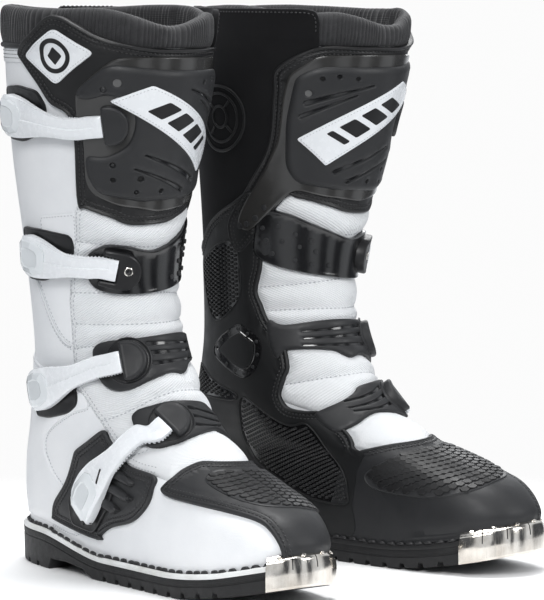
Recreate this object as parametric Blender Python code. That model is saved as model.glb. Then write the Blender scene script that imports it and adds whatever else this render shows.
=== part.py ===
"""A pair of off-road motorcycle riding boots, built as separate pieces.

Metres, +Z up, toes toward -Y, the wearer's right boot at -X.
Every shape is worked out once for the right boot in a local frame in millimetres
(x out to the side, f toward the toe, z up) and mirrored for the left boot.
A place on the boot is given by an angle round it (0 front, 90 outer side, 180 back,
270 inner side) and a station going up it (0 at the sole edge, 12 at the shaft top).
"""
import math

import bpy
import numpy as np
from mathutils import Vector
from mathutils.geometry import delaunay_2d_cdt

for item in list(bpy.data.objects):
    bpy.data.objects.remove(item, do_unlink=True)

# ---------------------------------------------------------------- driving dimensions, millimetres
TOE_OUT = math.radians(6.6)   # each boot is turned out by this much
HALF_PAIR = 96.4              # from the plane between the boots to the middle of each boot
PAIR_SHIFT_F = 69.0           # the forward position on the boot that stands at Y = 0
SKIN = 3.8                    # thickness of the upper
SPLIT = 7.7                   # station where the foot part ends and the shaft begins
SHAFT_TOP = 12.0              # station of the shaft's top edge
SPLIT_GAP = 0.022             # the shaft starts this far above the split, in stations
AROUND = 34                   # corners round the upper
WELT_OUT = 5.0                # how far the sole stands out past the upper
LUG = 3.0                     # depth of the grooves in the tread
DISC_R = 14.2                 # radius of the adjuster covers
MOUTH_FRONT = 4.0             # the strap's mouth in a cover: where it starts and its half width
MOUTH_HALF = 9.2
STRAP_HALF = 6.8              # half width and half thickness of the toothed straps
STRAP_THICK = 0.8
PIN_R = 1.6                   # radius of the strap's rolled end round the lever's pin
PIN_ABOVE_PAD = 4.1           # height of the pin above its pad
RIDGE_RISE = 3.6              # height of the catch's ridge and of its pad
PAD_RISE = 1.2
TAB_LOW, TAB_HIGH = 1.3, 3.2  # the tabs lie between these heights over the upper

# ---------------------------------------------------------------- the boot surface
# front f, front z, back f, back z, half width, width lean, width square, front shift, side shift
STATIONS = np.array([
    [222, 34, -88, 31, 52.0, 6.0, 12.0, -5, 0],
    [224, 45, -91, 50, 53.0, 6.0, 12.0, -5, 0],
    [210, 60, -90, 64, 52.0, 4.0, 12.0, -5, 0],
    [178, 72, -88, 80, 49.0, 0.0, 9.0, -5, 0],
    [142, 84, -84, 96, 46.5, -3.0, 4.0, -7, 0],
    [107, 102, -80, 114, 44.5, -4.0, 0.0, -8, 0],
    [78, 132, -75, 134, 44.0, -4.0, -1.0, -7, 0],
    [57, 168, -71, 158, 44.5, -2.0, -1.0, -4, 0],
    [50, 208, -71, 193, 47.0, -1.0, -1.0, -1, 1],
    [58, 255, -74, 241, 52.5, 0.0, -1.0, 0, 3],
    [70, 304, -78, 293, 59.0, 0.0, -1.0, 0, 5],
    [82, 346, -80, 343, 64.5, 0.0, -1.0, 0, 6],
    [88, 374, -79, 376, 67.0, 0.0, -1.0, 0, 7],
    [93, 403, -78, 404, 69.0, 0.0, -1.0, 0, 8],
], float)
LAST = len(STATIONS) - 1


def smooth(x):
    x = np.clip(x, 0.0, 1.0)
    return x * x * (3 - 2 * x)


def station(v):
    """The nine shape numbers at station v, smoothly joined."""
    v = np.clip(np.asarray(v, float), 0, LAST)
    i = np.minimum(v.astype(int), LAST - 1)
    t = (v - i)[..., None]
    first = 2 * STATIONS[:1] - STATIONS[1:2]
    last = 2 * STATIONS[-1:] - STATIONS[-2:-1]
    rows = np.vstack([first, STATIONS, last])
    a, b, c, d = rows[i], rows[i + 1], rows[i + 2], rows[i + 3]
    cubic = 3 * b - a - 3 * c + d
    return 0.5 * (2 * b + (c - a) * t + (2 * a - 5 * b + 4 * c - d) * t * t + cubic * t ** 3)


def sole_bottom(f):
    """Height of the tread under the foot: flat, then lifting at the toe."""
    return 16.0 * np.clip((np.asarray(f, float) - 120) / 110, 0, 1) ** 1.7


def sole_edge(f):
    """Height of the line where the upper meets the sole."""
    f = np.asarray(f, float)
    return 17 + 12 * smooth((50 - f) / 90) + sole_bottom(f) + 1.5 * np.clip((f - 180) / 50, 0, 1)


def surface(phi, v):
    """Points of the outer surface of the boot, (side, forward, up) in millimetres."""
    a = np.radians(np.asarray(phi, float))
    v = np.asarray(v, float)
    s = station(v)
    c = np.cos(a)
    t = (c + 1) / 2
    f = s[..., 2] + (s[..., 0] - s[..., 2]) * t
    z = s[..., 3] + (s[..., 1] - s[..., 3]) * t
    w = s[..., 4] + s[..., 5] * c + s[..., 6] * np.cos(2 * a)
    x = np.sin(a) * w + s[..., 7] * smooth(t) + s[..., 8]
    low = STATIONS[0]
    chord = low[3] + (low[1] - low[3]) * np.clip((f - low[2]) / (low[0] - low[2]), 0, 1)
    z = z + (sole_edge(f) - chord) * np.clip(1 - v / 3.0, 0, 1) ** 2
    return np.stack([x, f, z], -1)


def normal(phi, v):
    phi = np.asarray(phi, float)
    v = np.asarray(v, float)
    around = surface(phi + 0.5, v) - surface(phi - 0.5, v)
    upward = surface(phi, v + 0.02) - surface(phi, v - 0.02)
    upward = np.where((v > LAST - 0.03)[..., None], surface(phi, v) - surface(phi, v - 0.04), upward)
    upward = np.where((v < 0.03)[..., None], surface(phi, v + 0.04) - surface(phi, v), upward)
    n = np.cross(upward, around)
    return n / np.linalg.norm(n, axis=-1, keepdims=True)


def on_boot(phi, v, height):
    """A point a given height above the surface."""
    height = np.asarray(height, float)
    return surface(phi, v) + normal(phi, v) * height[..., None]


# ---------------------------------------------------------------- making objects
def to_world(points, side):
    p = np.asarray(points, float)
    x, f, z = p[..., 0], p[..., 1] - PAIR_SHIFT_F, p[..., 2]
    wx = -x * math.cos(TOE_OUT) - f * math.sin(TOE_OUT) - HALF_PAIR
    wy = x * math.sin(TOE_OUT) - f * math.cos(TOE_OUT)
    if side == "left":
        wx = -wx
    return np.stack([wx, wy, z], -1) * 0.001


def material(name, colour, rough, metal=0.0):
    mat = bpy.data.materials.new(name)
    mat.use_nodes = True
    node = mat.node_tree.nodes["Principled BSDF"]
    node.inputs["Base Color"].default_value = (colour[0], colour[1], colour[2], 1.0)
    node.inputs["Roughness"].default_value = rough
    node.inputs["Metallic"].default_value = metal
    return mat


LOOKS = {
    "white": ((0.82, 0.83, 0.85), 0.45, 0.0),
    "charcoal": ((0.045, 0.046, 0.05), 0.55, 0.0),
    "black": ((0.012, 0.012, 0.013), 0.5, 0.0),
    "suede": ((0.010, 0.010, 0.010), 0.9, 0.0),
    "knit": ((0.035, 0.035, 0.038), 0.85, 0.0),
    "steel": ((0.72, 0.70, 0.66), 0.22, 1.0),
    "foam": ((0.10, 0.10, 0.11), 0.9, 0.0),
}


def add(name, look, points, faces, soft=True, origin=None):
    """Make the piece for both boots from local points and outward faces."""
    for side in ("right", "left"):
        world = to_world(points, side)
        centre = np.zeros(3)
        if origin is not None:
            centre = to_world(np.asarray(origin, float), side)
        polys = [tuple(f) for f in faces]
        if side == "left":
            polys = [tuple(reversed(f)) for f in polys]
        mesh = bpy.data.meshes.new(name + "_" + side)
        mesh.from_pydata([tuple(p) for p in world - centre], [], polys)
        mesh.validate()
        mesh.shade_smooth()
        mesh.set_sharp_from_angle(angle=math.radians(60 if soft else 28))
        ob = bpy.data.objects.new(name + "_" + side, mesh)
        ob.location = Vector(centre)
        bpy.context.scene.collection.objects.link(ob)
        ob.data.materials.append(material(name + "_" + side, *LOOKS[look]))


def tube_faces(rows, around):
    """Faces of a closed ring of rows: rows go round the section, columns round the boot."""
    faces = []
    for r in range(rows):
        q = (r + 1) % rows
        for k in range(around):
            m = (k + 1) % around
            faces.append((r * around + k, q * around + k, q * around + m, r * around + m))
    return faces


def shell(name, look, angles, levels, thick):
    """A thick skin between two stations, open top and bottom."""
    outer = [on_boot(angles, np.full(len(angles), v), np.zeros(len(angles))) for v in levels]
    inner = [on_boot(angles, np.full(len(angles), v), np.full(len(angles), -thick)) for v in levels]
    inner[0][:, 2] = outer[0][:, 2]
    rows = outer + inner[::-1]
    points = np.vstack(rows)
    # columns run from the front toward the outer side, rows run up the outside
    add(name, look, points, tube_faces(len(rows), len(angles)))


# ---------------------------------------------------------------- panels lying on the boot
def inside(point, loop):
    x, y = point
    hit = False
    for i in range(len(loop)):
        x0, y0 = loop[i - 1]
        x1, y1 = loop[i]
        if (y0 > y) != (y1 > y) and x < (x1 - x0) * (y - y0) / (y1 - y0) + x0:
            hit = not hit
    return hit


def edge_gap(point, loop):
    p = np.asarray(point)
    a = np.asarray(loop, float)
    b = np.roll(a, -1, axis=0)
    d = b - a
    t = np.clip(((p - a) * d).sum(1) / np.maximum((d * d).sum(1), 1e-9), 0, 1)
    return float(np.min(np.linalg.norm(a + d * t[:, None] - p, axis=1)))


def rounded(points, per=3):
    """A closed smooth curve through the points."""
    p = np.asarray(points, float)
    out = []
    n = len(p)
    for i in range(n):
        a, b, c, d = p[i - 1], p[i], p[(i + 1) % n], p[(i + 2) % n]
        for k in range(per):
            t = k / per
            out.append(0.5 * (2 * b + (c - a) * t + (2 * a - 5 * b + 4 * c - d) * t * t
                              + (3 * b - a - 3 * c + d) * t ** 3))
    return np.array(out)


def divide(loop, longest):
    """The same closed line with no stretch longer than the given length."""
    out = []
    for i in range(len(loop)):
        a = np.asarray(loop[i], float)
        b = np.asarray(loop[(i + 1) % len(loop)], float)
        parts = max(1, int(math.ceil(np.linalg.norm(b - a) / longest)))
        out += [tuple(a + (b - a) * k / parts) for k in range(parts)]
    return out


def panel(name, look, loop, point, top, low, step, inner_loops=()):
    """A closed plate over the boot: loop in flat millimetres, point(a, b, height) in space."""
    loop = divide([tuple(p) for p in loop], step * 1.2)
    flat = [Vector(p) for p in loop]
    edges = [(i, (i + 1) % len(loop)) for i in range(len(loop))]
    for extra in inner_loops:
        start = len(flat)
        flat += [Vector(p) for p in extra]
        edges += [(start + i, start + (i + 1) % len(extra)) for i in range(len(extra))]
    low_x, low_y = np.min(loop, axis=0)
    high_x, high_y = np.max(loop, axis=0)
    for gx in np.arange(low_x + step / 2, high_x, step):
        for gy in np.arange(low_y + step / 2, high_y, step):
            spot = (float(gx), float(gy))
            near = [edge_gap(spot, extra) for extra in inner_loops]
            if inside(spot, loop) and edge_gap(spot, loop) > step * 0.45 and min(near + [99]) > 1.0:
                flat.append(Vector(spot))
    result = delaunay_2d_cdt(flat, edges, [list(range(len(loop)))], 1, 1e-4)
    spots = [(p.x, p.y) for p in result[0]]
    tris = []
    for t in result[2]:
        middle = np.mean([spots[i] for i in t], axis=0)
        if inside(middle, loop):
            tris.append(tuple(t))
    used = sorted({i for t in tris for i in t})
    index = {old: new for new, old in enumerate(used)}
    spots = [spots[i] for i in used]
    fixed = []
    for t in tris:
        a, b, c = [index[i] for i in t]
        (ax, ay), (bx, by), (cx, cy) = spots[a], spots[b], spots[c]
        turn = (bx - ax) * (cy - ay) - (by - ay) * (cx - ax)
        fixed.append((a, b, c) if turn > 0 else (a, c, b))
    tris = fixed
    up = np.array([point(p[0], p[1], top(*p)) for p in spots])
    down = np.array([point(p[0], p[1], low(*p)) for p in spots])
    n = len(spots)
    # decide which winding faces outward on this patch
    a, b, c = tris[0]
    face_n = np.cross(up[b] - up[a], up[c] - up[a])
    if np.dot(face_n, up[a] - down[a]) < 0:
        tris = [(t[0], t[2], t[1]) for t in tris]
    faces = list(tris)
    faces += [(t[0] + n, t[2] + n, t[1] + n) for t in tris]
    count = {}
    for t in tris:
        for i in range(3):
            e = (t[i], t[(i + 1) % 3])
            count[e] = count.get(e, 0) + 1
    for (i, j) in count:
        if (j, i) not in count:
            faces.append((j, i, i + n, j + n))
    add(name, look, np.vstack([up, down]), faces, soft=False)


def level(value):
    return lambda a, b: value


def sheet_map(phi0, v0):
    """Flat millimetres to angle and station round a middle place, for wide panels."""
    per_deg = float(np.linalg.norm(surface(phi0 + 1.0, v0) - surface(phi0, v0)))
    per_station = float(np.linalg.norm(surface(phi0, v0 + 0.1) - surface(phi0, v0))) * 10

    def point(a, b, height):
        return on_boot(a / per_deg, b / per_station, height)

    def flat(points):
        return [(p[0] * per_deg, p[1] * per_station) for p in points]

    return point, flat


def wide_panel(name, look, outline, low, high, step, per=2):
    mid = np.mean(outline, axis=0)
    point, flat = sheet_map(float(mid[0]), float(np.clip(mid[1], 0.5, LAST - 0.5)))
    loop = flat(rounded(outline, per))
    panel(name, look, loop, point, level(high), level(low), step)


# ---------------------------------------------------------------- the two skins and the collar
ANGLES = np.arange(AROUND) * 360.0 / AROUND
shell("foot_shell", "white", ANGLES,
      [0, 0.6, 1.2, 2.0, 2.8, 3.6, 4.3, 5.0, 5.5, 5.95, 6.4, 6.85, 7.3, SPLIT], SKIN)
shell("shaft_shell", "white", ANGLES,
      [SPLIT + SPLIT_GAP, 8.15, 8.6, 9.1, 9.7, 10.4, 11.2, SHAFT_TOP], SKIN)

# the padded collar: a rounded section carried round the shaft top
COLLAR = [(-2.2, 12.02), (-1.0, 12.3), (-0.8, 12.7), (-2.6, 13.0), (-6.5, 13.12), (-10.5, 12.95),
          (-12.5, 12.5), (-12.0, 12.02)]
ring = [on_boot(ANGLES, np.full(AROUND, min(v, 13.0)), np.full(AROUND, h)) + [0, 0, max(v - 13.0, 0) * 28]
        for h, v in COLLAR]
add("collar", "knit", np.vstack(ring), tube_faces(len(ring), AROUND))


# ---------------------------------------------------------------- sole pieces
def plan_ring(phi, grow):
    """Sole outline in plan, grown outward."""
    p = surface(phi, np.zeros_like(phi))
    d = surface(phi + 0.5, np.zeros_like(phi)) - surface(phi - 0.5, np.zeros_like(phi))
    n = np.stack([-d[:, 1], d[:, 0]], -1)
    n = -n / np.linalg.norm(n, axis=1, keepdims=True)
    centre = np.array([0.0, 60.0])
    flip = np.sign(((p[:, :2] - centre) * n).sum(1))
    return p[:, :2] + n * flip[:, None] * grow


def slab(name, look, cuts, low, high, grow_low, grow_high):
    """A sole layer: cuts are forward positions, low and high give its height at each."""
    back, front = STATIONS[0][2], STATIONS[0][0]
    cuts = np.asarray(cuts, float)
    phi = np.degrees(np.arccos(np.clip(2 * (cuts - back) / (front - back) - 1, -1, 1)))
    points = []
    for heights, grow in ((high, grow_high), (low, grow_low)):
        outer = plan_ring(phi, grow)
        inner = plan_ring(-phi, grow)
        for i, cut in enumerate(cuts):
            points.append((outer[i][0], outer[i][1], heights(cut, outer[i][1])))
            if 0 < i < len(cuts) - 1:
                points.append((inner[i][0], inner[i][1], heights(cut, inner[i][1])))
    n = len(points) // 2
    m = len(cuts)

    def lat(i):
        return 0 if i == 0 else (n - 1 if i == m - 1 else 2 * i - 1)

    def med(i):
        return 0 if i == 0 else (n - 1 if i == m - 1 else 2 * i)

    faces = []
    for i in range(m - 1):
        quad = [lat(i), med(i), med(i + 1), lat(i + 1)]
        quad = [q for k, q in enumerate(quad) if q not in quad[:k]]
        faces.append(tuple(reversed(quad)))
        faces.append(tuple(q + n for q in quad))
        faces.append((lat(i), lat(i) + n, lat(i + 1) + n, lat(i + 1)))
        faces.append((med(i + 1), med(i + 1) + n, med(i) + n, med(i)))
    add(name, look, np.array(points), faces, soft=False)


BACK, FRONT = STATIONS[0][2], STATIONS[0][0]
PLAIN_CUTS = [BACK, -86, -80, -68, -50, -25, 0, 25, 50, 80, 110, 140, 165, 185, 200, 211, 218, FRONT]
slab("midsole", "white", PLAIN_CUTS, lambda cut, f: sole_edge(f) - 6.2,
     lambda cut, f: sole_edge(f) - 0.7, WELT_OUT, WELT_OUT)
slab("insole", "foam", PLAIN_CUTS,
     lambda cut, f: sole_edge(f) + 0.4, lambda cut, f: sole_edge(f) + 3.8, -6.5, -6.5)

tread = [BACK, -85]
tread_low = {BACK: 1.0, -85: 0.0}
for start in (-74, -58, -42):
    for f, z in ((start, 0.0), (start + 0.8, LUG), (start + 4.0, LUG), (start + 4.8, 0.0)):
        tread.append(f)
        tread_low[f] = z
for f, z in ((-24, 0.0), (-20, 7.5), (0, 8.0), (22, 5.5), (34, 0.0)):
    tread.append(f)
    tread_low[f] = z
for start in (48, 64, 80, 96, 112, 128, 144, 160, 176):
    for f, z in ((start, 0.0), (start + 0.8, LUG), (start + 4.0, LUG), (start + 4.8, 0.0)):
        tread.append(f)
        tread_low[f] = z
for f, z in ((194, 0.0), (206, 0.0), (215, 1.0), (FRONT, 3.0)):
    tread.append(f)
    tread_low[f] = z
slab("outsole", "black", tread, lambda cut, f: tread_low[cut] + float(sole_bottom(f)),
     lambda cut, f: sole_edge(f) - 6.7, WELT_OUT - 1.0, WELT_OUT)


def toe_guard():
    """A bent steel cap over the front edge of the sole: a wall and a top flange."""
    phis = np.array([-34, -28, -22, -16, -10, -4, 2, 8, 14, 20], float)
    rows = []
    section = [(5.8, None), (8.2, None), (8.2, 2.2), (7.2, 3.0), (1.6, 3.0), (1.6, 0.5), (5.8, 0.5)]
    for grow, rise in section:
        plan = plan_ring(phis, grow)
        z = sole_bottom(plan[:, 1]) + 1.2 if rise is None else sole_edge(plan[:, 1]) + rise
        rows.append(np.column_stack([plan, z]))
    points = np.stack(rows, 1)
    n, m = points.shape[:2]
    faces = []
    for i in range(n - 1):
        for k in range(m):
            j = (k + 1) % m
            faces.append((i * m + k, i * m + j, (i + 1) * m + j, (i + 1) * m + k))
    faces.append(tuple(reversed(range(m))))
    faces.append(tuple((n - 1) * m + k for k in range(m)))
    add("toe_guard", "steel", points.reshape(-1, 3), faces, soft=False)


toe_guard()

# ---------------------------------------------------------------- plates and guards
wide_panel("shin_plate", "charcoal", [
    (57, 10.95), (38, 11.66), (10, 11.72), (-20, 11.66), (-45, 11.56), (-60, 11.25), (-63, 10.4),
    (-62, 9.6), (-54, 9.35), (-23, 9.24), (14, 9.24), (45, 9.40), (53, 9.75), (52, 10.0), (38, 9.93),
    (24.5, 10.1), (21, 10.43), (25, 10.8), (38, 10.97), (50, 10.84)], 1.0, 6.0, 12.5, 1)
wide_panel("toe_overlay", "charcoal", [
    (62, 2.75), (50, 3.45), (36, 4.02), (18, 4.32), (-10, 4.25), (-34, 4.08), (-50, 3.85), (-62, 3.4),
    (-71, 2.7), (-76, 1.8), (-77, 1.0), (-76, 0.38), (-50, 0.4), (-38, 0.6), (-18, 0.66), (0, 0.66),
    (14, 0.64), (16, 0.95), (17, 1.5), (23, 1.95), (36, 2.25), (50, 2.42)], 1.2, 3.2, 11.0, 1)
wide_panel("medial_guard", "suede", [
    (192, 12.98), (215, 13.0), (250, 13.0), (280, 13.0), (294, 12.98), (296, 12.3), (293, 11.4),
    (292, 10.6), (290, 9.8), (286, 9.2), (284, 8.7), (288, 8.2), (285, 7.8), (288, 7.4), (293, 6.8),
    (290, 6.0), (286, 5.5), (288, 5.1), (296, 4.7), (297, 4.2), (292, 3.6), (286, 3.0), (281, 2.2),
    (280, 1.2), (280, 0.3), (255, 0.3), (225, 0.35), (200, 0.4), (192, 0.9), (191, 4.0), (190, 8.0)],
    1.8, 3.6, 13.5, 1)
wide_panel("instep_plate", "charcoal", [
    (73, 5.0), (71, 4.6), (69, 3.9), (60, 3.35), (64, 2.6), (74, 1.9), (84, 1.25), (94, 0.95),
    (98, 0.35), (121, 0.35), (120, 1.4), (112, 2.5), (104, 3.5), (96, 4.1), (84, 4.75)], 0.9, 2.5, 11.0, 1)

wide_panel("tab_2", "black", [
    (50, 8.5), (40, 8.68), (25, 8.66), (0, 8.55), (-30, 8.78), (-52, 9.0), (-72, 9.12), (-73, 8.45),
    (-60, 8.22), (-36, 8.02), (-10, 7.9), (15, 7.86), (38, 7.92), (49, 8.1)], TAB_LOW, TAB_HIGH, 9.0, 1)
wide_panel("tab_3", "black", [
    (60, 6.62), (57, 6.9), (46, 7.08), (30, 7.12), (0, 7.16), (-30, 7.16), (-56, 7.16), (-66, 7.0),
    (-66, 6.6), (-50, 6.5), (-28, 6.45), (0, 6.38), (24, 6.28), (44, 6.1), (56, 6.12), (61, 6.35)],
    TAB_LOW, TAB_HIGH, 8.0, 1)
wide_panel("tab_4", "black", [
    (51, 5.1), (49, 5.45), (38, 5.75), (18, 5.88), (-10, 5.88), (-28, 5.78), (-46, 5.5), (-62, 5.1),
    (-62, 4.72), (-45, 4.85), (-25, 5.0), (0, 5.05), (20, 4.95), (34, 4.75), (45, 4.62), (51, 4.8)],
    TAB_LOW, TAB_HIGH, 8.0, 1)


# ---------------------------------------------------------------- the four buckles
def frame(phi, v, toward):
    """Point, outward normal, unit direction toward a neighbour place, and side direction."""
    p = surface(phi, v)
    n = normal(phi, v)
    u = surface(*toward) - p
    u = u - n * np.dot(u, n)
    u = u / np.linalg.norm(u)
    return p, n, u, np.cross(n, u)


class Path:
    """A smooth line on the boot through a few places, measured in millimetres."""

    def __init__(self, places):
        p = np.asarray(places, float)
        p = np.vstack([2 * p[0] - p[1], p, 2 * p[-1] - p[-2]])
        fine = []
        for i in range(1, len(p) - 2):
            a, b, c, d = p[i - 1], p[i], p[i + 1], p[i + 2]
            for k in range(24):
                t = k / 24
                fine.append(0.5 * (2 * b + (c - a) * t + (2 * a - 5 * b + 4 * c - d) * t * t
                                   + (3 * b - a - 3 * c + d) * t ** 3))
        fine.append(p[-2])
        self.fine = np.array(fine)
        pos = on_boot(self.fine[:, 0], self.fine[:, 1], np.full(len(fine), 6.0))
        self.run = np.concatenate([[0], np.cumsum(np.linalg.norm(np.diff(pos, axis=0), axis=1))])
        self.length = float(self.run[-1])

    def at(self, s):
        phi = float(np.interp(s, self.run, self.fine[:, 0]))
        v = float(np.interp(s, self.run, self.fine[:, 1]))
        if s > self.length:
            extra = (s - self.length) / (self.run[-1] - self.run[-4])
            phi += (self.fine[-1, 0] - self.fine[-4, 0]) * extra
            v += (self.fine[-1, 1] - self.fine[-4, 1]) * extra
        return phi, v

    def frame(self, s):
        ahead = self.at(s + 1.0)
        p, n, u, side = frame(*self.at(s), ahead)
        return p, n, u, side

    def spot(self, s, side_mm, height):
        """A point along the line; close to the start it follows the flat frame of the disc."""
        p, n, u, side = self.frame(s)
        far = p + n * height + side * side_mm
        share = float(smooth((s - 12.0) / 12.0))
        if share >= 1.0:
            return far
        near = self.local(0.0)[1](s, side_mm, height)
        return near * (1 - share) + far * share

    def local(self, s):
        """Flat millimetres about the point at s (along, sideways) to angle and station."""
        phi, v = self.at(s)
        p, n, u, side = self.frame(s)
        d_phi = surface(phi + 0.5, v) - surface(phi - 0.5, v)
        d_v = (surface(phi, v + 0.05) - surface(phi, v - 0.05)) * 10
        m = np.array([[np.dot(d_phi, u), np.dot(d_v, u)], [np.dot(d_phi, side), np.dot(d_v, side)]])
        inv = np.linalg.inv(m)

        def place(a, b):
            d = inv @ np.array([a, b])
            return phi + d[0], v + d[1]

        def point(a, b, height):
            drop = float(np.dot(surface(*place(a, b)) - p, n))
            share = 1.0 - 0.035 * max(height - 3.0, 0.0)
            return p + u * a + side * b + n * (height + drop * share)

        return place, point


def loft(name, look, sections, origin):
    """A solid through closed sections of equal point count, with flat ends."""
    points = np.vstack(sections)
    m = len(sections[0])
    n = len(sections)
    faces = []
    for i in range(n - 1):
        for k in range(m):
            j = (k + 1) % m
            faces.append((i * m + k, i * m + j, (i + 1) * m + j, (i + 1) * m + k))
    faces.append(tuple(reversed(range(m))))
    faces.append(tuple((n - 1) * m + k for k in range(m)))
    add(name, look, points, faces, soft=False, origin=origin)


# the line each buckle follows from its cover to its pin, the heights of the cover's underside,
# its top and the mouth's floor, and the level on which the pad lies
BUCKLES = {
    1: dict(path=[(36.9, 10.43), (58, 10.40), (84, 10.54), (106, 10.66)],
            base=0.8, top=8.4, floor=2.6, pad=0.9),
    2: dict(path=[(26.0, 8.27), (44, 8.36), (72, 8.47), (100, 8.66)],
            base=3.8, top=9.8, floor=4.6, pad=0.9),
    3: dict(path=[(36.0, 6.66), (58, 6.55), (86, 6.22), (115, 5.80)],
            base=3.8, top=9.8, floor=4.6, pad=0.9),
    4: dict(path=[(25.5, 5.37), (53, 4.86), (78, 3.68), (96, 2.40), (103.5, 1.35)],
            base=3.8, top=9.8, floor=4.6, pad=2.9),
}
PADS = {
    1: [(115, 11.1), (98, 11.12), (82, 11.02), (75, 10.72), (78, 10.32), (95, 10.22), (115, 10.28)],
    2: [(111, 9.05), (84, 8.96), (62, 8.84), (60, 8.6), (66, 8.30), (90, 8.2), (111, 8.28)],
    3: [(84, 6.42), (80, 6.0), (83, 5.62), (92, 5.32), (110, 5.0), (124, 4.9), (125, 5.9), (104, 6.32)],
    4: [(92, 3.1), (88, 2.4), (94, 1.5), (101, 0.62), (112, 0.62), (113, 1.5), (107, 2.4)],
}
# distance past the pin and share of its radius, for the strap's rolled end
PIN_ROUND = ((-1.75, 0.5), (-1.2, 0.75), (0.0, 1.0), (1.1, 0.72))


def lever_half_width(t):
    """Half width along the lever: slim at the tip over the disc, broad at the pin."""
    return 7.8 + 7.2 * float(smooth((t - 0.35) / 0.5)) - 1.5 * float(smooth((t - 0.88) / 0.12))


def buckle(number):
    spec = BUCKLES[number]
    path = Path(spec["path"])
    reach = path.length
    floor = spec["floor"]
    top = spec["top"]
    # the round adjuster cover with its mouth open toward the strap
    place, point = path.local(0.0)
    circle = [(DISC_R * math.cos(a), DISC_R * math.sin(a)) for a in np.linspace(0, 2 * math.pi, 21)[:-1]]
    mouth = [(MOUTH_FRONT, -MOUTH_HALF), (DISC_R + 1, -MOUTH_HALF), (DISC_R + 1, MOUTH_HALF),
             (MOUTH_FRONT, MOUTH_HALF)]
    lip = [(MOUTH_FRONT - 0.5, -MOUTH_HALF - 0.5), (DISC_R + 1.4, -MOUTH_HALF - 0.5),
           (DISC_R + 1.4, MOUTH_HALF + 0.5), (MOUTH_FRONT - 0.5, MOUTH_HALF + 0.5)]

    def disc_top(a, b):
        if a > MOUTH_FRONT - 0.05 and abs(b) < MOUTH_HALF + 0.05:
            return floor
        return top

    panel("disc_%d" % number, "charcoal", circle, point, disc_top, level(spec["base"]), 7.0, (mouth, lip))
    # the toothed strap under the lever, from the mouth to the pin
    start = MOUTH_FRONT + 1.6
    pin_h = spec["pad"] + PIN_ABOVE_PAD
    swing = path.spot(start, 0, top + 0.2)
    stops = [start, start + 4, start + 9, start + 16] + [start + 16 + (reach - 4.5 - start - 16) * k / 5
                                                         for k in range(1, 6)]
    sections = []
    for s in stops:
        t = (s - start) / (reach - start)
        sink = float(smooth((t - 0.28) / 0.4))
        mid = (floor + 1.35) * (1 - sink) + (spec["pad"] + 2.6) * sink
        mid += 1.5 * float(smooth((t - 0.8) / 0.2))
        low, high = mid - STRAP_THICK, mid + STRAP_THICK
        corners = ((-STRAP_HALF, low), (STRAP_HALF, low), (STRAP_HALF, high), (-STRAP_HALF, high))
        sections.append([path.spot(s, w, h) for w, h in corners])
    p, n, u, side = path.frame(reach)
    centre = p + n * pin_h
    for s, share in PIN_ROUND:
        half = PIN_R * share
        q = centre + u * s
        corners = ((-STRAP_HALF, -half), (STRAP_HALF, -half), (STRAP_HALF, half), (-STRAP_HALF, half))
        sections.append([q + side * w + n * h for w, h in corners])
    loft("strap_%d" % number, "black", sections, swing)
    # the long lever lying over the strap: channel below, rounded top
    sections = []
    count = 11
    for k in range(count):
        t = k / (count - 1)
        s = start + (reach + 1.9 - start) * t
        half = lever_half_width(t)
        sink = float(smooth((t - 0.28) / 0.4))
        roof = (floor + 2.65) * (1 - sink) + (spec["pad"] + 4.4) * sink
        roof += 1.8 * float(smooth((t - 0.7) / 0.2))
        crown = roof + 3.0 - 0.4 * float(smooth((t - 0.9) / 0.1))
        drop = roof - 0.2 - (roof - spec["pad"] - 2.7) * float(smooth((t - 0.45) / 0.3))
        inner = 7.4
        edge = min(1.6, half - inner + 0.9)
        outline = [(-half, drop), (-inner, drop), (-inner, roof), (inner, roof), (inner, drop), (half, drop),
                   (half, crown - 1.3), (half - edge, crown), (-half + edge, crown), (-half, crown - 1.3)]
        sections.append([path.spot(s, w, h) for w, h in outline])
    pin = path.spot(reach, 0, pin_h)
    loft("lever_%d" % number, "white", sections, pin)
    # the catch: a pad on the boot with a low ridge behind the pin
    ridge_place = path.local(reach)[0]
    ridge = [(7.0, -6.0), (10.0, -6.0), (10.0, 6.0), (7.0, 6.0)]
    foot = [(6.4, -6.6), (10.6, -6.6), (10.6, 6.6), (6.4, 6.6)]
    mid = np.mean(PADS[number], axis=0)
    point, flat = sheet_map(float(mid[0]), float(mid[1]))
    loop = flat(rounded(PADS[number], 2))
    ridge_flat = flat([ridge_place(*p) for p in ridge])
    foot_flat = flat([ridge_place(*p) for p in foot])
    pad = spec["pad"]

    middle = np.mean(ridge_flat, axis=0)
    ridge_edge = [tuple(middle + (np.array(p) - middle) * 1.03) for p in ridge_flat]

    def pad_top(a, b):
        if inside((a, b), ridge_edge):
            return pad + RIDGE_RISE
        return pad + PAD_RISE

    panel("catch_%d" % number, "black", loop, point, pad_top, level(pad), 9.0, (ridge_flat, foot_flat))
    return dict(swing=swing, swing_axis=path.frame(start)[3], pin=pin, pin_axis=path.frame(reach)[3],
                length=reach)


JOINTS = {}
for number in BUCKLES:
    JOINTS[number] = buckle(number)
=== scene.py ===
"""The looks of a pair of motocross riding boots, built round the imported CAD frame.

Every shape is worked out once for the right boot in a local frame in millimetres
(x out to the side, f toward the toe, z up) and mirrored for the left boot.
A place on the boot is an angle round it (0 front, 90 outer side, 180 back, -90 inner side)
and a station going up it (0 at the sole edge, 12 at the top of the shaft), the same as in the CAD.
"""
import math

import bpy
import numpy as np
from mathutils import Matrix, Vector
from mathutils.geometry import delaunay_2d_cdt
from mathutils.kdtree import KDTree


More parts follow.
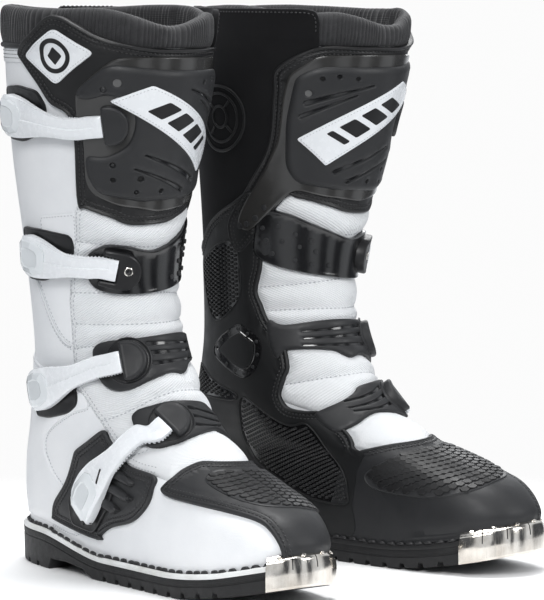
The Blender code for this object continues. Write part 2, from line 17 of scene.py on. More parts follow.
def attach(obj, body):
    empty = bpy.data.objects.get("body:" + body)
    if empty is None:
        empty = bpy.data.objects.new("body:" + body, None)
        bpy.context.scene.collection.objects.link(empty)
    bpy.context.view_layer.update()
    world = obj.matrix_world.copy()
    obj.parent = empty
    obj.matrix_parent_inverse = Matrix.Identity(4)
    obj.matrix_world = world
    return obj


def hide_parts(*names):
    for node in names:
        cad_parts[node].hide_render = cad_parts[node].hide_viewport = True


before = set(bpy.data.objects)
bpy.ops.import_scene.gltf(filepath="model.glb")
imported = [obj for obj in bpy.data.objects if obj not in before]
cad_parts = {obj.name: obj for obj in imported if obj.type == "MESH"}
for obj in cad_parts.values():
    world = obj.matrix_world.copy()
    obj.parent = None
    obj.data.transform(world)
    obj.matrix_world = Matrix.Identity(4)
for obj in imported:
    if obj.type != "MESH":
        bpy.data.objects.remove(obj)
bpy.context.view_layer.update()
SIDES = ("right", "left")

# ---------------------------------------------------------------- the boot surface, as in the CAD
TOE_OUT = math.radians(6.6)
HALF_PAIR = 96.4
PAIR_SHIFT_F = 69.0
# front f, front z, back f, back z, half width, width lean, width square, front shift, side shift
STATIONS = np.array([
    [222, 34, -88, 31, 52.0, 6.0, 12.0, -5, 0],
    [224, 45, -91, 50, 53.0, 6.0, 12.0, -5, 0],
    [210, 60, -90, 64, 52.0, 4.0, 12.0, -5, 0],
    [178, 72, -88, 80, 49.0, 0.0, 9.0, -5, 0],
    [142, 84, -84, 96, 46.5, -3.0, 4.0, -7, 0],
    [107, 102, -80, 114, 44.5, -4.0, 0.0, -8, 0],
    [78, 132, -75, 134, 44.0, -4.0, -1.0, -7, 0],
    [57, 168, -71, 158, 44.5, -2.0, -1.0, -4, 0],
    [50, 208, -71, 193, 47.0, -1.0, -1.0, -1, 1],
    [58, 255, -74, 241, 52.5, 0.0, -1.0, 0, 3],
    [70, 304, -78, 293, 59.0, 0.0, -1.0, 0, 5],
    [82, 346, -80, 343, 64.5, 0.0, -1.0, 0, 6],
    [88, 374, -79, 376, 67.0, 0.0, -1.0, 0, 7],
    [93, 403, -78, 404, 69.0, 0.0, -1.0, 0, 8],
], float)
LAST = len(STATIONS) - 1
ROWS = np.vstack([2 * STATIONS[:1] - STATIONS[1:2], STATIONS, 2 * STATIONS[-1:] - STATIONS[-2:-1]])


def smooth(x):
    x = np.clip(x, 0.0, 1.0)
    return x * x * (3 - 2 * x)


def catmull(a, b, c, d, t):
    """The smooth curve from b to c at share t."""
    return 0.5 * (2 * b + (c - a) * t + (2 * a - 5 * b + 4 * c - d) * t * t
                  + (3 * b - a - 3 * c + d) * t ** 3)


def station(v):
    v = np.clip(np.asarray(v, float), 0, LAST)
    i = np.minimum(v.astype(int), LAST - 1)
    t = (v - i)[..., None]
    return catmull(ROWS[i], ROWS[i + 1], ROWS[i + 2], ROWS[i + 3], t)


def sole_bottom(f):
    return 16.0 * np.clip((np.asarray(f, float) - 120) / 110, 0, 1) ** 1.7


def sole_edge(f):
    f = np.asarray(f, float)
    return 17 + 12 * smooth((50 - f) / 90) + sole_bottom(f) + 1.5 * np.clip((f - 180) / 50, 0, 1)


def surface(phi, v):
    """Points of the outer surface of the boot, (side, forward, up) in millimetres."""
    a = np.radians(np.asarray(phi, float))
    v = np.asarray(v, float)
    s = station(v)
    c = np.cos(a)
    t = (c + 1) / 2
    f = s[..., 2] + (s[..., 0] - s[..., 2]) * t
    z = s[..., 3] + (s[..., 1] - s[..., 3]) * t
    w = s[..., 4] + s[..., 5] * c + s[..., 6] * np.cos(2 * a)
    x = np.sin(a) * w + s[..., 7] * smooth(t) + s[..., 8]
    low = STATIONS[0]
    chord = low[3] + (low[1] - low[3]) * np.clip((f - low[2]) / (low[0] - low[2]), 0, 1)
    z = z + (sole_edge(f) - chord) * np.clip(1 - v / 3.0, 0, 1) ** 2
    return np.stack([x, f, z], -1)


def tangents(phi, v):
    """How the surface runs per degree round the boot and per station up it."""
    phi = np.asarray(phi, float)
    v = np.asarray(v, float)
    up = np.minimum(v + 0.02, LAST)
    down = np.maximum(v - 0.02, 0.0)
    around = surface(phi + 0.5, v) - surface(phi - 0.5, v)
    upward = (surface(phi, up) - surface(phi, down)) / (up - down)[..., None]
    return around, upward


def unit(a):
    return a / np.maximum(np.linalg.norm(a, axis=-1, keepdims=True), 1e-9)


def heading(pos, closed=False):
    """The direction of a line at each of its points in space."""
    if closed:
        return unit(np.roll(pos, -1, 0) - np.roll(pos, 1, 0))
    return unit(np.gradient(pos, axis=0))


def distances(pos):
    """How far along a line in space each of its points is."""
    return np.concatenate([[0], np.cumsum(np.linalg.norm(np.diff(pos, axis=0), axis=1))])


def normal(phi, v):
    around, upward = tangents(phi, v)
    return unit(np.cross(upward, around))


def on_boot(phi, v, height):
    """Points a given height above the surface."""
    return surface(phi, v) + normal(phi, v) * np.asarray(height, float)[..., None]


def shifted(phi, v, move):
    """The angle and station reached from (phi, v) by a small move in space along the surface."""
    e1, e2 = tangents(phi, v)
    a11, a12, a22 = (e1 * e1).sum(-1), (e1 * e2).sum(-1), (e2 * e2).sum(-1)
    b1, b2 = (move * e1).sum(-1), (move * e2).sum(-1)
    det = np.maximum(a11 * a22 - a12 * a12, 1e-6)
    return phi + (b1 * a22 - b2 * a12) / det, v + (b2 * a11 - b1 * a12) / det


def beside(phi, v, across, up):
    """The place that lies across mm round the boot and up mm up it from (phi, v)."""
    across = np.asarray(across, float)
    up = np.asarray(up, float)
    phi = np.broadcast_to(np.asarray(phi, float), across.shape)
    v = np.broadcast_to(np.asarray(v, float), across.shape)
    e1, e2 = tangents(phi, v)
    u = unit(e1)
    w = unit(e2 - u * (e2 * u).sum(-1, keepdims=True))
    return np.stack(shifted(phi, v, u * across[..., None] + w * up[..., None]), -1)


# ---------------------------------------------------------------- making pieces for both boots
def to_world(points, side):
    p = np.asarray(points, float)
    x, f, z = p[..., 0], p[..., 1] - PAIR_SHIFT_F, p[..., 2]
    wx = -x * math.cos(TOE_OUT) - f * math.sin(TOE_OUT) - HALF_PAIR
    wy = x * math.sin(TOE_OUT) - f * math.cos(TOE_OUT)
    if side == "left":
        wx = -wx
    return np.stack([wx, wy, z], -1) * 0.001


BODY = {"boot": "boot_%s"}
for number in range(1, 5):
    BODY["strap%d" % number] = "strap_body_%d_%%s" % number
    BODY["lever%d" % number] = "lever_body_%d_%%s" % number
MATERIALS = {}


def add(name, looks, points, faces, slot, part="boot", which=None, place=None, hides=(), sharp=40):
    """Make a piece for both boots from local points and outward faces.

    looks is one material name or several, which gives each face's choice among them,
    place is a flat position for each point in millimetres, for weaves and grain."""
    looks = [looks] if isinstance(looks, str) else list(looks)
    made = []
    for side in SIDES:
        world = to_world(points, side)
        polys = [tuple(int(i) for i in f) for f in faces]
        if side == "left":
            polys = [p[::-1] for p in polys]
        mesh = bpy.data.meshes.new(name + "_" + side)
        mesh.from_pydata(world.tolist(), [], polys)
        for look in looks:
            mesh.materials.append(MATERIALS[look])
        if which is not None:
            mesh.polygons.foreach_set("material_index", np.asarray(which, np.int32))
        if place is not None:
            layer = mesh.attributes.new("place", "FLOAT_VECTOR", "POINT")
            layer.data.foreach_set("vector", (np.asarray(place, np.float32) * 0.001).ravel())
        mesh.shade_smooth()
        mesh.set_sharp_from_angle(angle=math.radians(sharp))
        ob = bpy.data.objects.new(name + "_" + side, mesh)
        bpy.context.scene.collection.objects.link(ob)
        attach(ob, BODY[part] % side)
        if hides:
            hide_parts(*[h + "_" + side for h in hides])
        made.append(ob)
    return made


class Gather:
    """Many small closed shapes collected into one piece."""

    def __init__(self):
        self.points = []
        self.faces = []
        self.count = 0

    def put(self, points, faces):
        """points is (number of copies, points per copy, 3), faces belong to one copy."""
        points = np.asarray(points, float)
        if points.ndim == 2:
            points = points[None]
        n, k = points.shape[:2]
        self.points.append(points.reshape(-1, 3))
        base = self.count
        for i in range(n):
            self.faces += [tuple(j + base + i * k for j in f) for f in faces]
        self.count += n * k

    def piece(self, name, look, slot, part="boot", sharp=50, hides=()):
        if self.count:
            return add(name, look, np.vstack(self.points), self.faces, slot, part, sharp=sharp, hides=hides)


# ---------------------------------------------------------------- lines and loops on the boot
def curve(points, closed=True, per=8):
    """A smooth line through the points."""
    p = np.asarray(points, float)
    n = len(p)
    out = []
    for i in range(n if closed else n - 1):
        if closed:
            a, b, c, d = p[i - 1], p[i], p[(i + 1) % n], p[(i + 2) % n]
        else:
            b, c = p[i], p[i + 1]
            a = p[i - 1] if i else 2 * b - c
            d = p[i + 2] if i + 2 < n else 2 * c - b
        out += [catmull(a, b, c, d, k / per) for k in range(per)]
    if not closed:
        out.append(p[-1])
    return np.array(out)


def walk(line, spacing, closed=True):
    """The same line with points at equal distances in space."""
    line = np.asarray(line, float)
    full = np.vstack([line, line[:1]]) if closed else line
    run = distances(surface(full[:, 0], full[:, 1]))
    count = max(3, int(round(run[-1] / spacing)))
    s = np.linspace(0, run[-1], count + 1)
    if closed:
        s = s[:-1]
    return np.stack([np.interp(s, run, full[:, 0]), np.interp(s, run, full[:, 1])], -1)


def turned(loop):
    """The loop running so that its inside is on the same side each time."""
    x, y = loop[:, 0], loop[:, 1]
    area = (x * np.roll(y, -1) - np.roll(x, -1) * y).sum()
    return loop if area > 0 else loop[::-1]


def inset(loop, mm):
    """The closed loop moved inward over the surface; a negative distance moves it outward."""
    if abs(mm) < 1e-6:
        return loop
    inward = np.cross(heading(surface(*loop.T), closed=True), normal(*loop.T))
    inward = unit(inward + 0.5 * (np.roll(inward, 1, 0) + np.roll(inward, -1, 0)))
    phi, v = shifted(*loop.T, inward * mm)
    return np.stack([phi, np.clip(v, 0.0, LAST)], -1)


def aside(line, mm):
    """An open line moved sideways over the surface."""
    phi, v = shifted(*line.T, np.cross(heading(surface(*line.T)), normal(*line.T)) * mm)
    return np.stack([phi, np.clip(v, 0.0, LAST)], -1)


def inside(points, loop):
    """Which points lie inside the loop, both in the plane of angle and station."""
    x, y = points[:, 0][:, None], points[:, 1][:, None]
    x0, y0 = loop[:, 0][None], loop[:, 1][None]
    x1, y1 = np.roll(loop[:, 0], -1)[None], np.roll(loop[:, 1], -1)[None]
    cross = (y0 > y) != (y1 > y)
    with np.errstate(divide="ignore", invalid="ignore"):
        hit = x < (x1 - x0) * (y - y0) / (y1 - y0) + x0
    return (cross & hit).sum(1) % 2 == 1


def round_spot(phi, v, radius, count=16):
    a = np.linspace(0, 2 * math.pi, count, endpoint=False)
    return turned(beside(phi, v, radius * np.cos(a), radius * np.sin(a)))


def slot_shape(start, end, wide, narrow, count=7):
    """A tapering slot with round ends from one place to another."""
    line = walk(np.array([start, end], float), 2.0, closed=False)
    half = np.linspace(wide, narrow, len(line))[:, None]
    t = heading(surface(*line.T))
    side = np.cross(t, normal(*line.T))
    left = np.stack(shifted(*line.T, side * half), -1)
    right = np.stack(shifted(*line.T, -side * half), -1)
    ends = []
    for i, r in ((-1, narrow), (0, -wide)):
        a = np.linspace(0, math.pi, count + 2)[1:-1, None]
        move = side[i] * np.cos(a) * r + t[i] * np.sin(a) * r
        ends.append(np.stack(shifted(*line[i], move), -1))
    return turned(np.vstack([left, ends[0], right[::-1], ends[1]]))


def level_row(loop, v, count):
    """Angles across the width of a loop at station v, and how far along each one is in millimetres."""
    phis = np.linspace(loop[:, 0].min(), loop[:, 0].max(), count)
    return phis, distances(surface(phis, v))


# ---------------------------------------------------------------- layers lying on the boot
def flat_scale(loop):
    mid = loop.mean(0)
    e1, e2 = tangents(mid[0], np.clip(mid[1], 0.3, LAST - 0.3))
    return np.array([np.linalg.norm(e1), np.linalg.norm(e2)])


def gaps(spots, others):
    """The distance in space from each place to the nearest of the others."""
    tree = KDTree(len(others))
    for i, p in enumerate(surface(*others.T)):
        tree.insert(p, i)
    tree.balance()
    return np.array([tree.find(p)[2] for p in surface(*spots.T)])


def field(loop, step, rings, scale):
    """Places evenly spread inside the loop and clear of the points of the rings."""
    low, high = loop[:, 1].min(), loop[:, 1].max()
    out = []
    rows = np.arange(low + 0.5 * step / scale[1], high, step * 0.87 / scale[1])
    for k, v in enumerate(rows):
        phis, run = level_row(loop, v, 60)
        s = np.arange(step * (0.25 + 0.5 * (k % 2)), run[-1], step)
        if len(s):
            out.append(np.stack([np.interp(s, run, phis), np.full(len(s), v)], -1))
    if not out:
        return np.zeros((0, 2))
    spots = np.vstack(out)
    spots = spots[inside(spots, loop)]
    keep = [gap > step * 0.55 for gap in gaps(spots, np.vstack(rings))]
    return spots[np.array(keep, bool)]


def fill(loops, extra, outer, scale, lines=()):
    """Triangles between loops, lines and loose spots, as far as the outer loop."""
    spots = [*loops, *lines, extra]
    flat = np.vstack([s for s in spots if len(s)])
    edges = []
    start = 0
    for loop in loops:
        n = len(loop)
        edges += [(start + i, start + (i + 1) % n) for i in range(n)]
        start += n
    for line in lines:
        n = len(line)
        edges += [(start + i, start + i + 1) for i in range(n - 1)]
        start += n
    result = delaunay_2d_cdt([Vector(p) for p in (flat * scale).tolist()], edges, [], 0, 1e-5)
    where = np.array([(p.x, p.y) for p in result[0]]) / scale
    tris = []
    for f in result[2]:
        tris += [(f[0], f[k], f[k + 1]) for k in range(1, len(f) - 1)]
    tris = np.array(tris)
    tris = tris[inside(where[tris].mean(1), outer)]
    a, b, c = where[tris[:, 0]], where[tris[:, 1]], where[tris[:, 2]]
    area = (b[:, 0] - a[:, 0]) * (c[:, 1] - a[:, 1]) - (b[:, 1] - a[:, 1]) * (c[:, 0] - a[:, 0])
    tris = tris[np.abs(area) > 1e-9]
    area = area[np.abs(area) > 1e-9]
    tris[area > 0] = tris[area > 0][:, ::-1]
    source = np.array([o[0] if len(o) else -1 for o in result[3]])
    return where, tris, source


def layer(name, look, outline, slot, top, base=-0.3, rim=None, step=3.0, marks=(), lines=(), relief=None,
          hides=(), per=8, fine=1.5, part="boot", sharp=40, ready=False, calm=None):
    """A closed plate that follows the boot.

    rim lists (distance in from the edge, height over the top level) from the outside in.
    marks are (loop, [(distance out of the loop, height over the top)], look for its floor or None).
    lines are creases that the mesh must follow, relief(phi, v) adds height, and calm(phi, v) is the
    share of the rim's shape that stays."""
    loop = outline if ready else turned(walk(curve(outline, per=per), fine))
    rim = rim or [(0.0, -0.9), (0.25, -0.3), (0.9, 0.0)]
    rings = [inset(loop, d) for d, h in rim]
    share = calm(*loop.T) if calm else np.ones(len(loop))
    heights = [top + h * share for d, h in rim]
    owner = [np.full(len(loop), -1) for d, h in rim]
    floors = []
    looks = [look] if isinstance(look, str) else list(look)
    for k, (shape, profile, floor) in enumerate(marks):
        for j, (d, h) in enumerate(profile):
            rings.append(inset(shape, -d))
            heights.append(np.full(len(shape), top + h))
            owner.append(np.full(len(shape), k if j == len(profile) - 1 else -1))
        if floor and floor not in looks:
            looks.append(floor)
        floors.append(looks.index(floor) if floor else 0)
    scale = flat_scale(loop)
    inner = rings[len(rim) - 1]
    spots = field(inner, step, rings + list(lines), scale)
    spot_h = np.full(len(spots), float(top))
    spot_own = np.full(len(spots), -1)
    keep = np.ones(len(spots), bool)
    for k, (shape, profile, floor) in enumerate(marks):
        if not len(spots):
            break
        wide = inside(spots, inset(shape, -max(profile[0][0], 0)))
        deep_in = inside(spots, inset(shape, -profile[-1][0]))
        spot_h[deep_in] = top + profile[-1][1]
        spot_own[deep_in] = k
        keep &= ~(wide & ~deep_in)
    spots, spot_h, spot_own = spots[keep], spot_h[keep], spot_own[keep]
    where, tris, source = fill(rings, spots, loop, scale, lines)
    all_h = np.concatenate([*heights, *[np.full(len(li), float(top)) for li in lines], spot_h])
    all_o = np.concatenate([*owner, *[np.full(len(li), -1) for li in lines], spot_own])
    h = np.full(len(where), float(top))
    own = np.full(len(where), -1)
    good = source >= 0
    h[good] = all_h[source[good]]
    own[good] = all_o[source[good]]
    if (~good).any():
        given = where[good]
        for i in np.nonzero(~good)[0]:
            j = np.argmin((((given - where[i]) * scale) ** 2).sum(1))
            h[i] = h[good][j]
    if relief is not None:
        h = h + relief(*where.T)
    up = on_boot(*where.T, h)
    own3 = own[tris]
    same = (own3[:, 0] >= 0) & (own3[:, 0] == own3[:, 1]) & (own3[:, 1] == own3[:, 2])
    which = np.zeros(len(tris), int)
    if floors:
        which[same] = np.array(floors)[own3[same, 0]]
    # the underside, and the wall that joins it to the top
    n = len(where)
    below, low_tris, low_source = fill([loop], field(loop, 9.0, [loop], scale), loop, scale)
    points = np.vstack([up, on_boot(*below.T, base)])
    faces = [tuple(t) for t in tris]
    faces += [(t[0] + n, t[2] + n, t[1] + n) for t in low_tris]
    top_of = {int(s): i for i, s in enumerate(source) if 0 <= s < len(loop)}
    low_of = {int(s): i for i, s in enumerate(low_source) if 0 <= s < len(loop)}
    shared = set(top_of) & set(low_of)
    wall = []
    for i in range(len(loop)):
        j = (i + 1) % len(loop)
        if i in shared and j in shared:
            wall.append((top_of[i], low_of[i] + n, low_of[j] + n, top_of[j]))
    # choose the wall's winding from its first face
    a, b, c = points[wall[0][0]], points[wall[0][1]], points[wall[0][2]]
    mid_in = surface(*inset(loop, 2.0)[0])
    if np.dot(np.cross(b - a, c - a), a - mid_in) < 0:
        wall = [w[::-1] for w in wall]
    faces += wall
    which = np.concatenate([which, np.zeros(len(faces) - len(tris), int)])
    place = np.vstack([np.column_stack([where * scale, h]),
                       np.column_stack([below * scale, np.zeros(len(below))])])
    return loop, add(name, looks, points, faces, slot, part, which=which, place=place, hides=hides,
                     sharp=sharp)


# ---------------------------------------------------------------- small shapes, cords and stitches
def strip_faces(rows, count, closed=False, flip=False):
    """Faces between rows of equal point count that each run once round, with both ends capped
    or, when closed, with the last row joined to the first."""
    faces = []
    for r in range(rows if closed else rows - 1):
        here, there = r * count, (r + 1) % rows * count
        for k in range(count):
            m = (k + 1) % count
            second, last = (there + k, here + m) if flip else (here + m, there + k)
            faces.append((here + k, second, there + m, last))
    if not closed:
        faces.append(tuple(reversed(range(count))))
        faces.append(tuple(range((rows - 1) * count, rows * count)))
    return faces


def outward(points, faces):
    """The faces turned so that the closed shape's volume is positive."""
    volume = 0.0
    for f in faces:
        a = points[f[0]]
        for k in range(1, len(f) - 1):
            volume += np.dot(a, np.cross(points[f[k]], points[f[k + 1]]))
    return faces if volume > 0 else [tuple(reversed(f)) for f in faces]


def loft(name, look, rows, slot, **rest):
    """A closed piece through rows of equal point count."""
    points = np.vstack(rows)
    return add(name, look, points, outward(points, strip_faces(len(rows), len(rows[0]))), slot, **rest)


def arc(radius, angles, x=0.0, y=0.0):
    """Flat points of a circle at the angles."""
    return [(x + radius * math.cos(a), y + radius * math.sin(a)) for a in angles]


def turn_of(count):
    """Angles that go once round."""
    return np.arange(count) * 2 * math.pi / count


def copies(pos, axes, shape):
    """A copy of the shape at each position, lying along the three axes there."""
    moved = pos[:, None]
    for i, axis in enumerate(axes):
        moved = moved + axis[:, None] * shape[None, :, i:i + 1]
    return moved


def capsule(length, radius, sides=7):
    """A lying thread stitch: rings along it, pressed in at both ends."""
    rows = []
    for s in np.linspace(-1, 1, 5):
        r = radius * math.sqrt(max(0.0, 1 - abs(s) ** 3)) + radius * 0.18
        sink = -radius * 0.9 * abs(s) ** 4
        rows += [(s * length / 2, y, z * 0.85 + sink) for y, z in arc(r, turn_of(sides))]
    return np.array(rows), strip_faces(5, sides)


def dome(radius, height, sides=12, edge=0.25):
    """A low round stud standing on the plane."""
    rows = [(radius, -0.4), (radius, height * 0.55), (radius - edge, height * 0.88), (radius * 0.45, height)]
    points = [(x, y, z) for r, z in rows for x, y in arc(r, turn_of(sides))]
    return np.array(points), strip_faces(len(rows), sides)


def prism(outline, base, top, bevel=0.5):
    """A small block from a flat outline, with a bevelled top."""
    p = np.asarray(outline, float)
    mid = p.mean(0)
    size = np.linalg.norm(p - mid, axis=1, keepdims=True)
    small = mid + (p - mid) * (1 - bevel / size)
    n = len(p)
    points = np.vstack([np.column_stack([p, np.full(n, base)]),
                        np.column_stack([p, np.full(n, top - bevel)]),
                        np.column_stack([small, np.full(n, top)])])
    return points, strip_faces(3, n)


def line_frame(line, spacing, closed, height):
    """Evenly spaced points over a line on the boot, and the directions along it, across it and off it."""
    phi, v = walk(line, spacing, closed).T
    pos = on_boot(phi, v, height(phi, v) if callable(height) else height)
    t = heading(pos, closed)
    n = normal(phi, v)
    return pos, t, unit(np.cross(n, t)), n


def sew(gather, line, height, pitch=3.1, length=2.3, radius=0.33, closed=False):
    """A row of stitches along a line on the boot."""
    pos, _, b, n = line_frame(line, pitch, closed, height)
    shape, faces = capsule(length, radius)
    gather.put(copies(pos, (np.cross(b, n), b, n), shape), faces)


def tube(line, height, radius, sides=8, closed=False, spacing=1.6, flat=1.0):
    """Points and faces of a cord lying along a line on the boot."""
    pos, t, b, n = line_frame(line, spacing, closed, height)
    n = np.cross(t, b)
    a = turn_of(sides)
    ring = b[:, None] * (np.cos(a) * radius)[None, :, None]
    ring = ring + n[:, None] * (np.sin(a) * radius * flat)[None, :, None]
    points = (pos[:, None] + ring).reshape(-1, 3)
    return points, [f[::-1] for f in strip_faces(len(pos), sides, closed)]


def stand(gather, places, height, shape, faces):
    """Put a copy of a shape on the boot at each place."""
    phi, v = np.asarray(places, float).reshape(-1, 2).T
    e1, e2 = tangents(phi, v)
    n = unit(np.cross(e2, e1))
    u = unit(e1)
    w = np.cross(u, n)
    w = -w if (w * e2).sum(-1).mean() < 0 else w
    gather.put(copies(on_boot(phi, v, height), (u, w, n), shape), [f[::-1] for f in faces])


# ---------------------------------------------------------------- materials
class Nodes:
    """A small helper to wire a node tree."""

    def __init__(self, owner):
        owner.use_nodes = True
        self.tree = owner.node_tree

    def node(self, kind, settings=None, **inputs):
        n = self.tree.nodes.new("ShaderNode" + kind)
        for key, value in (settings or {}).items():
            setattr(n, key, value)
        for key, value in inputs.items():
            self.wire(n, key.replace("_", " "), value)
        return n

    def wire(self, node, socket, value):
        """Set an input, given by its name or its number, to a value or to another node's output."""
        target = node.inputs[socket]
        if isinstance(value, bpy.types.NodeSocket):
            self.tree.links.new(value, target)
        else:
            target.default_value = value

    def join(self, factor, first, second, output):
        """Mix two shaders into the output node."""
        n = self.node("MixShader")
        for socket, value in enumerate((factor, first, second)):
            self.wire(n, socket, value)
        self.wire(self.tree.nodes[output], "Surface", n.outputs[0])


class Shader(Nodes):
    """A material."""

    def __init__(self, name):
        MATERIALS[name] = bpy.data.materials.new(name)
        super().__init__(MATERIALS[name])
        self.bsdf = self.tree.nodes["Principled BSDF"]

    def where(self, flat=False):
        if flat:
            return self.node("Attribute", {"attribute_name": "place"}).outputs["Vector"]
        return self.node("TexCoord").outputs["Object"]

    def noise(self, scale, detail=3.0, rough=0.55, stretch=None):
        vec = self.where()
        if stretch:
            vec = self.node("Mapping", Vector=vec, Scale=stretch).outputs["Vector"]
        return self.node("TexNoise", Vector=vec, Scale=scale, Detail=detail, Roughness=rough).outputs["Fac"]

    def cells(self, scale):
        return self.node("TexVoronoi", Vector=self.where(), Scale=scale, Randomness=1.0).outputs["Distance"]

    def span(self, value, low, high, to_low, to_high):
        return self.node("MapRange", Value=value, From_Min=low, From_Max=high, To_Min=to_low,
                         To_Max=to_high).outputs["Result"]

    def math(self, kind, a, b=0.0):
        n = self.node("Math", {"operation": kind})
        self.wire(n, 0, a)
        self.wire(n, 1, b)
        return n.outputs[0]

    def blend(self, fac, a, b):
        n = self.node("Mix", {"data_type": "RGBA"}, Factor=fac, A=(*a, 1.0), B=(*b, 1.0))
        self.wire(self.bsdf, "Base Color", n.outputs["Result"])

    def bump(self, height, distance, strength=1.0, after=None):
        n = self.node("Bump", Height=height, Strength=strength, Distance=distance)
        if after is not None:
            self.wire(n, "Normal", after)
        self.wire(self.bsdf, "Normal", n.outputs["Normal"])
        return n.outputs["Normal"]

    def rough(self, value, low, high, fac=(0.3, 0.7)):
        self.wire(self.bsdf, "Roughness", self.span(value, *fac, low, high))

    def fixed(self, **inputs):
        for key, value in inputs.items():
            self.wire(self.bsdf, key.replace("_", " "), value)


def leather(name, light, dark, rough, grain=950.0, depth=0.00012):
    """Coated leather: fine cells, soft unevenness and a little change of tone."""
    s = Shader(name)
    s.blend(s.span(s.noise(18.0, 4.0), 0.35, 0.7, 0.0, 1.0), light, dark)
    s.rough(s.noise(60.0, 5.0), rough - 0.07, rough + 0.09)
    first = s.bump(s.cells(grain), depth, 0.55)
    s.bump(s.noise(140.0, 4.0), 0.0005, 0.28, first)
    s.fixed(Specular_IOR_Level=0.36, Metallic=0.0)


def moulded(name, light, dark, rough, speck=1500.0, coat=0.0, depth=0.00005):
    """Moulded rubber or plastic with a fine spark-eroded grain and faint scuffs."""
    s = Shader(name)
    s.blend(s.span(s.noise(35.0, 5.0), 0.35, 0.7, 0.0, 1.0), light, dark)
    s.rough(s.noise(220.0, 6.0, 0.7), rough - 0.08, rough + 0.1)
    s.bump(s.noise(speck, 2.0), depth, 0.6)
    s.fixed(Coat_Weight=coat, Coat_Roughness=0.12, Specular_IOR_Level=0.36)


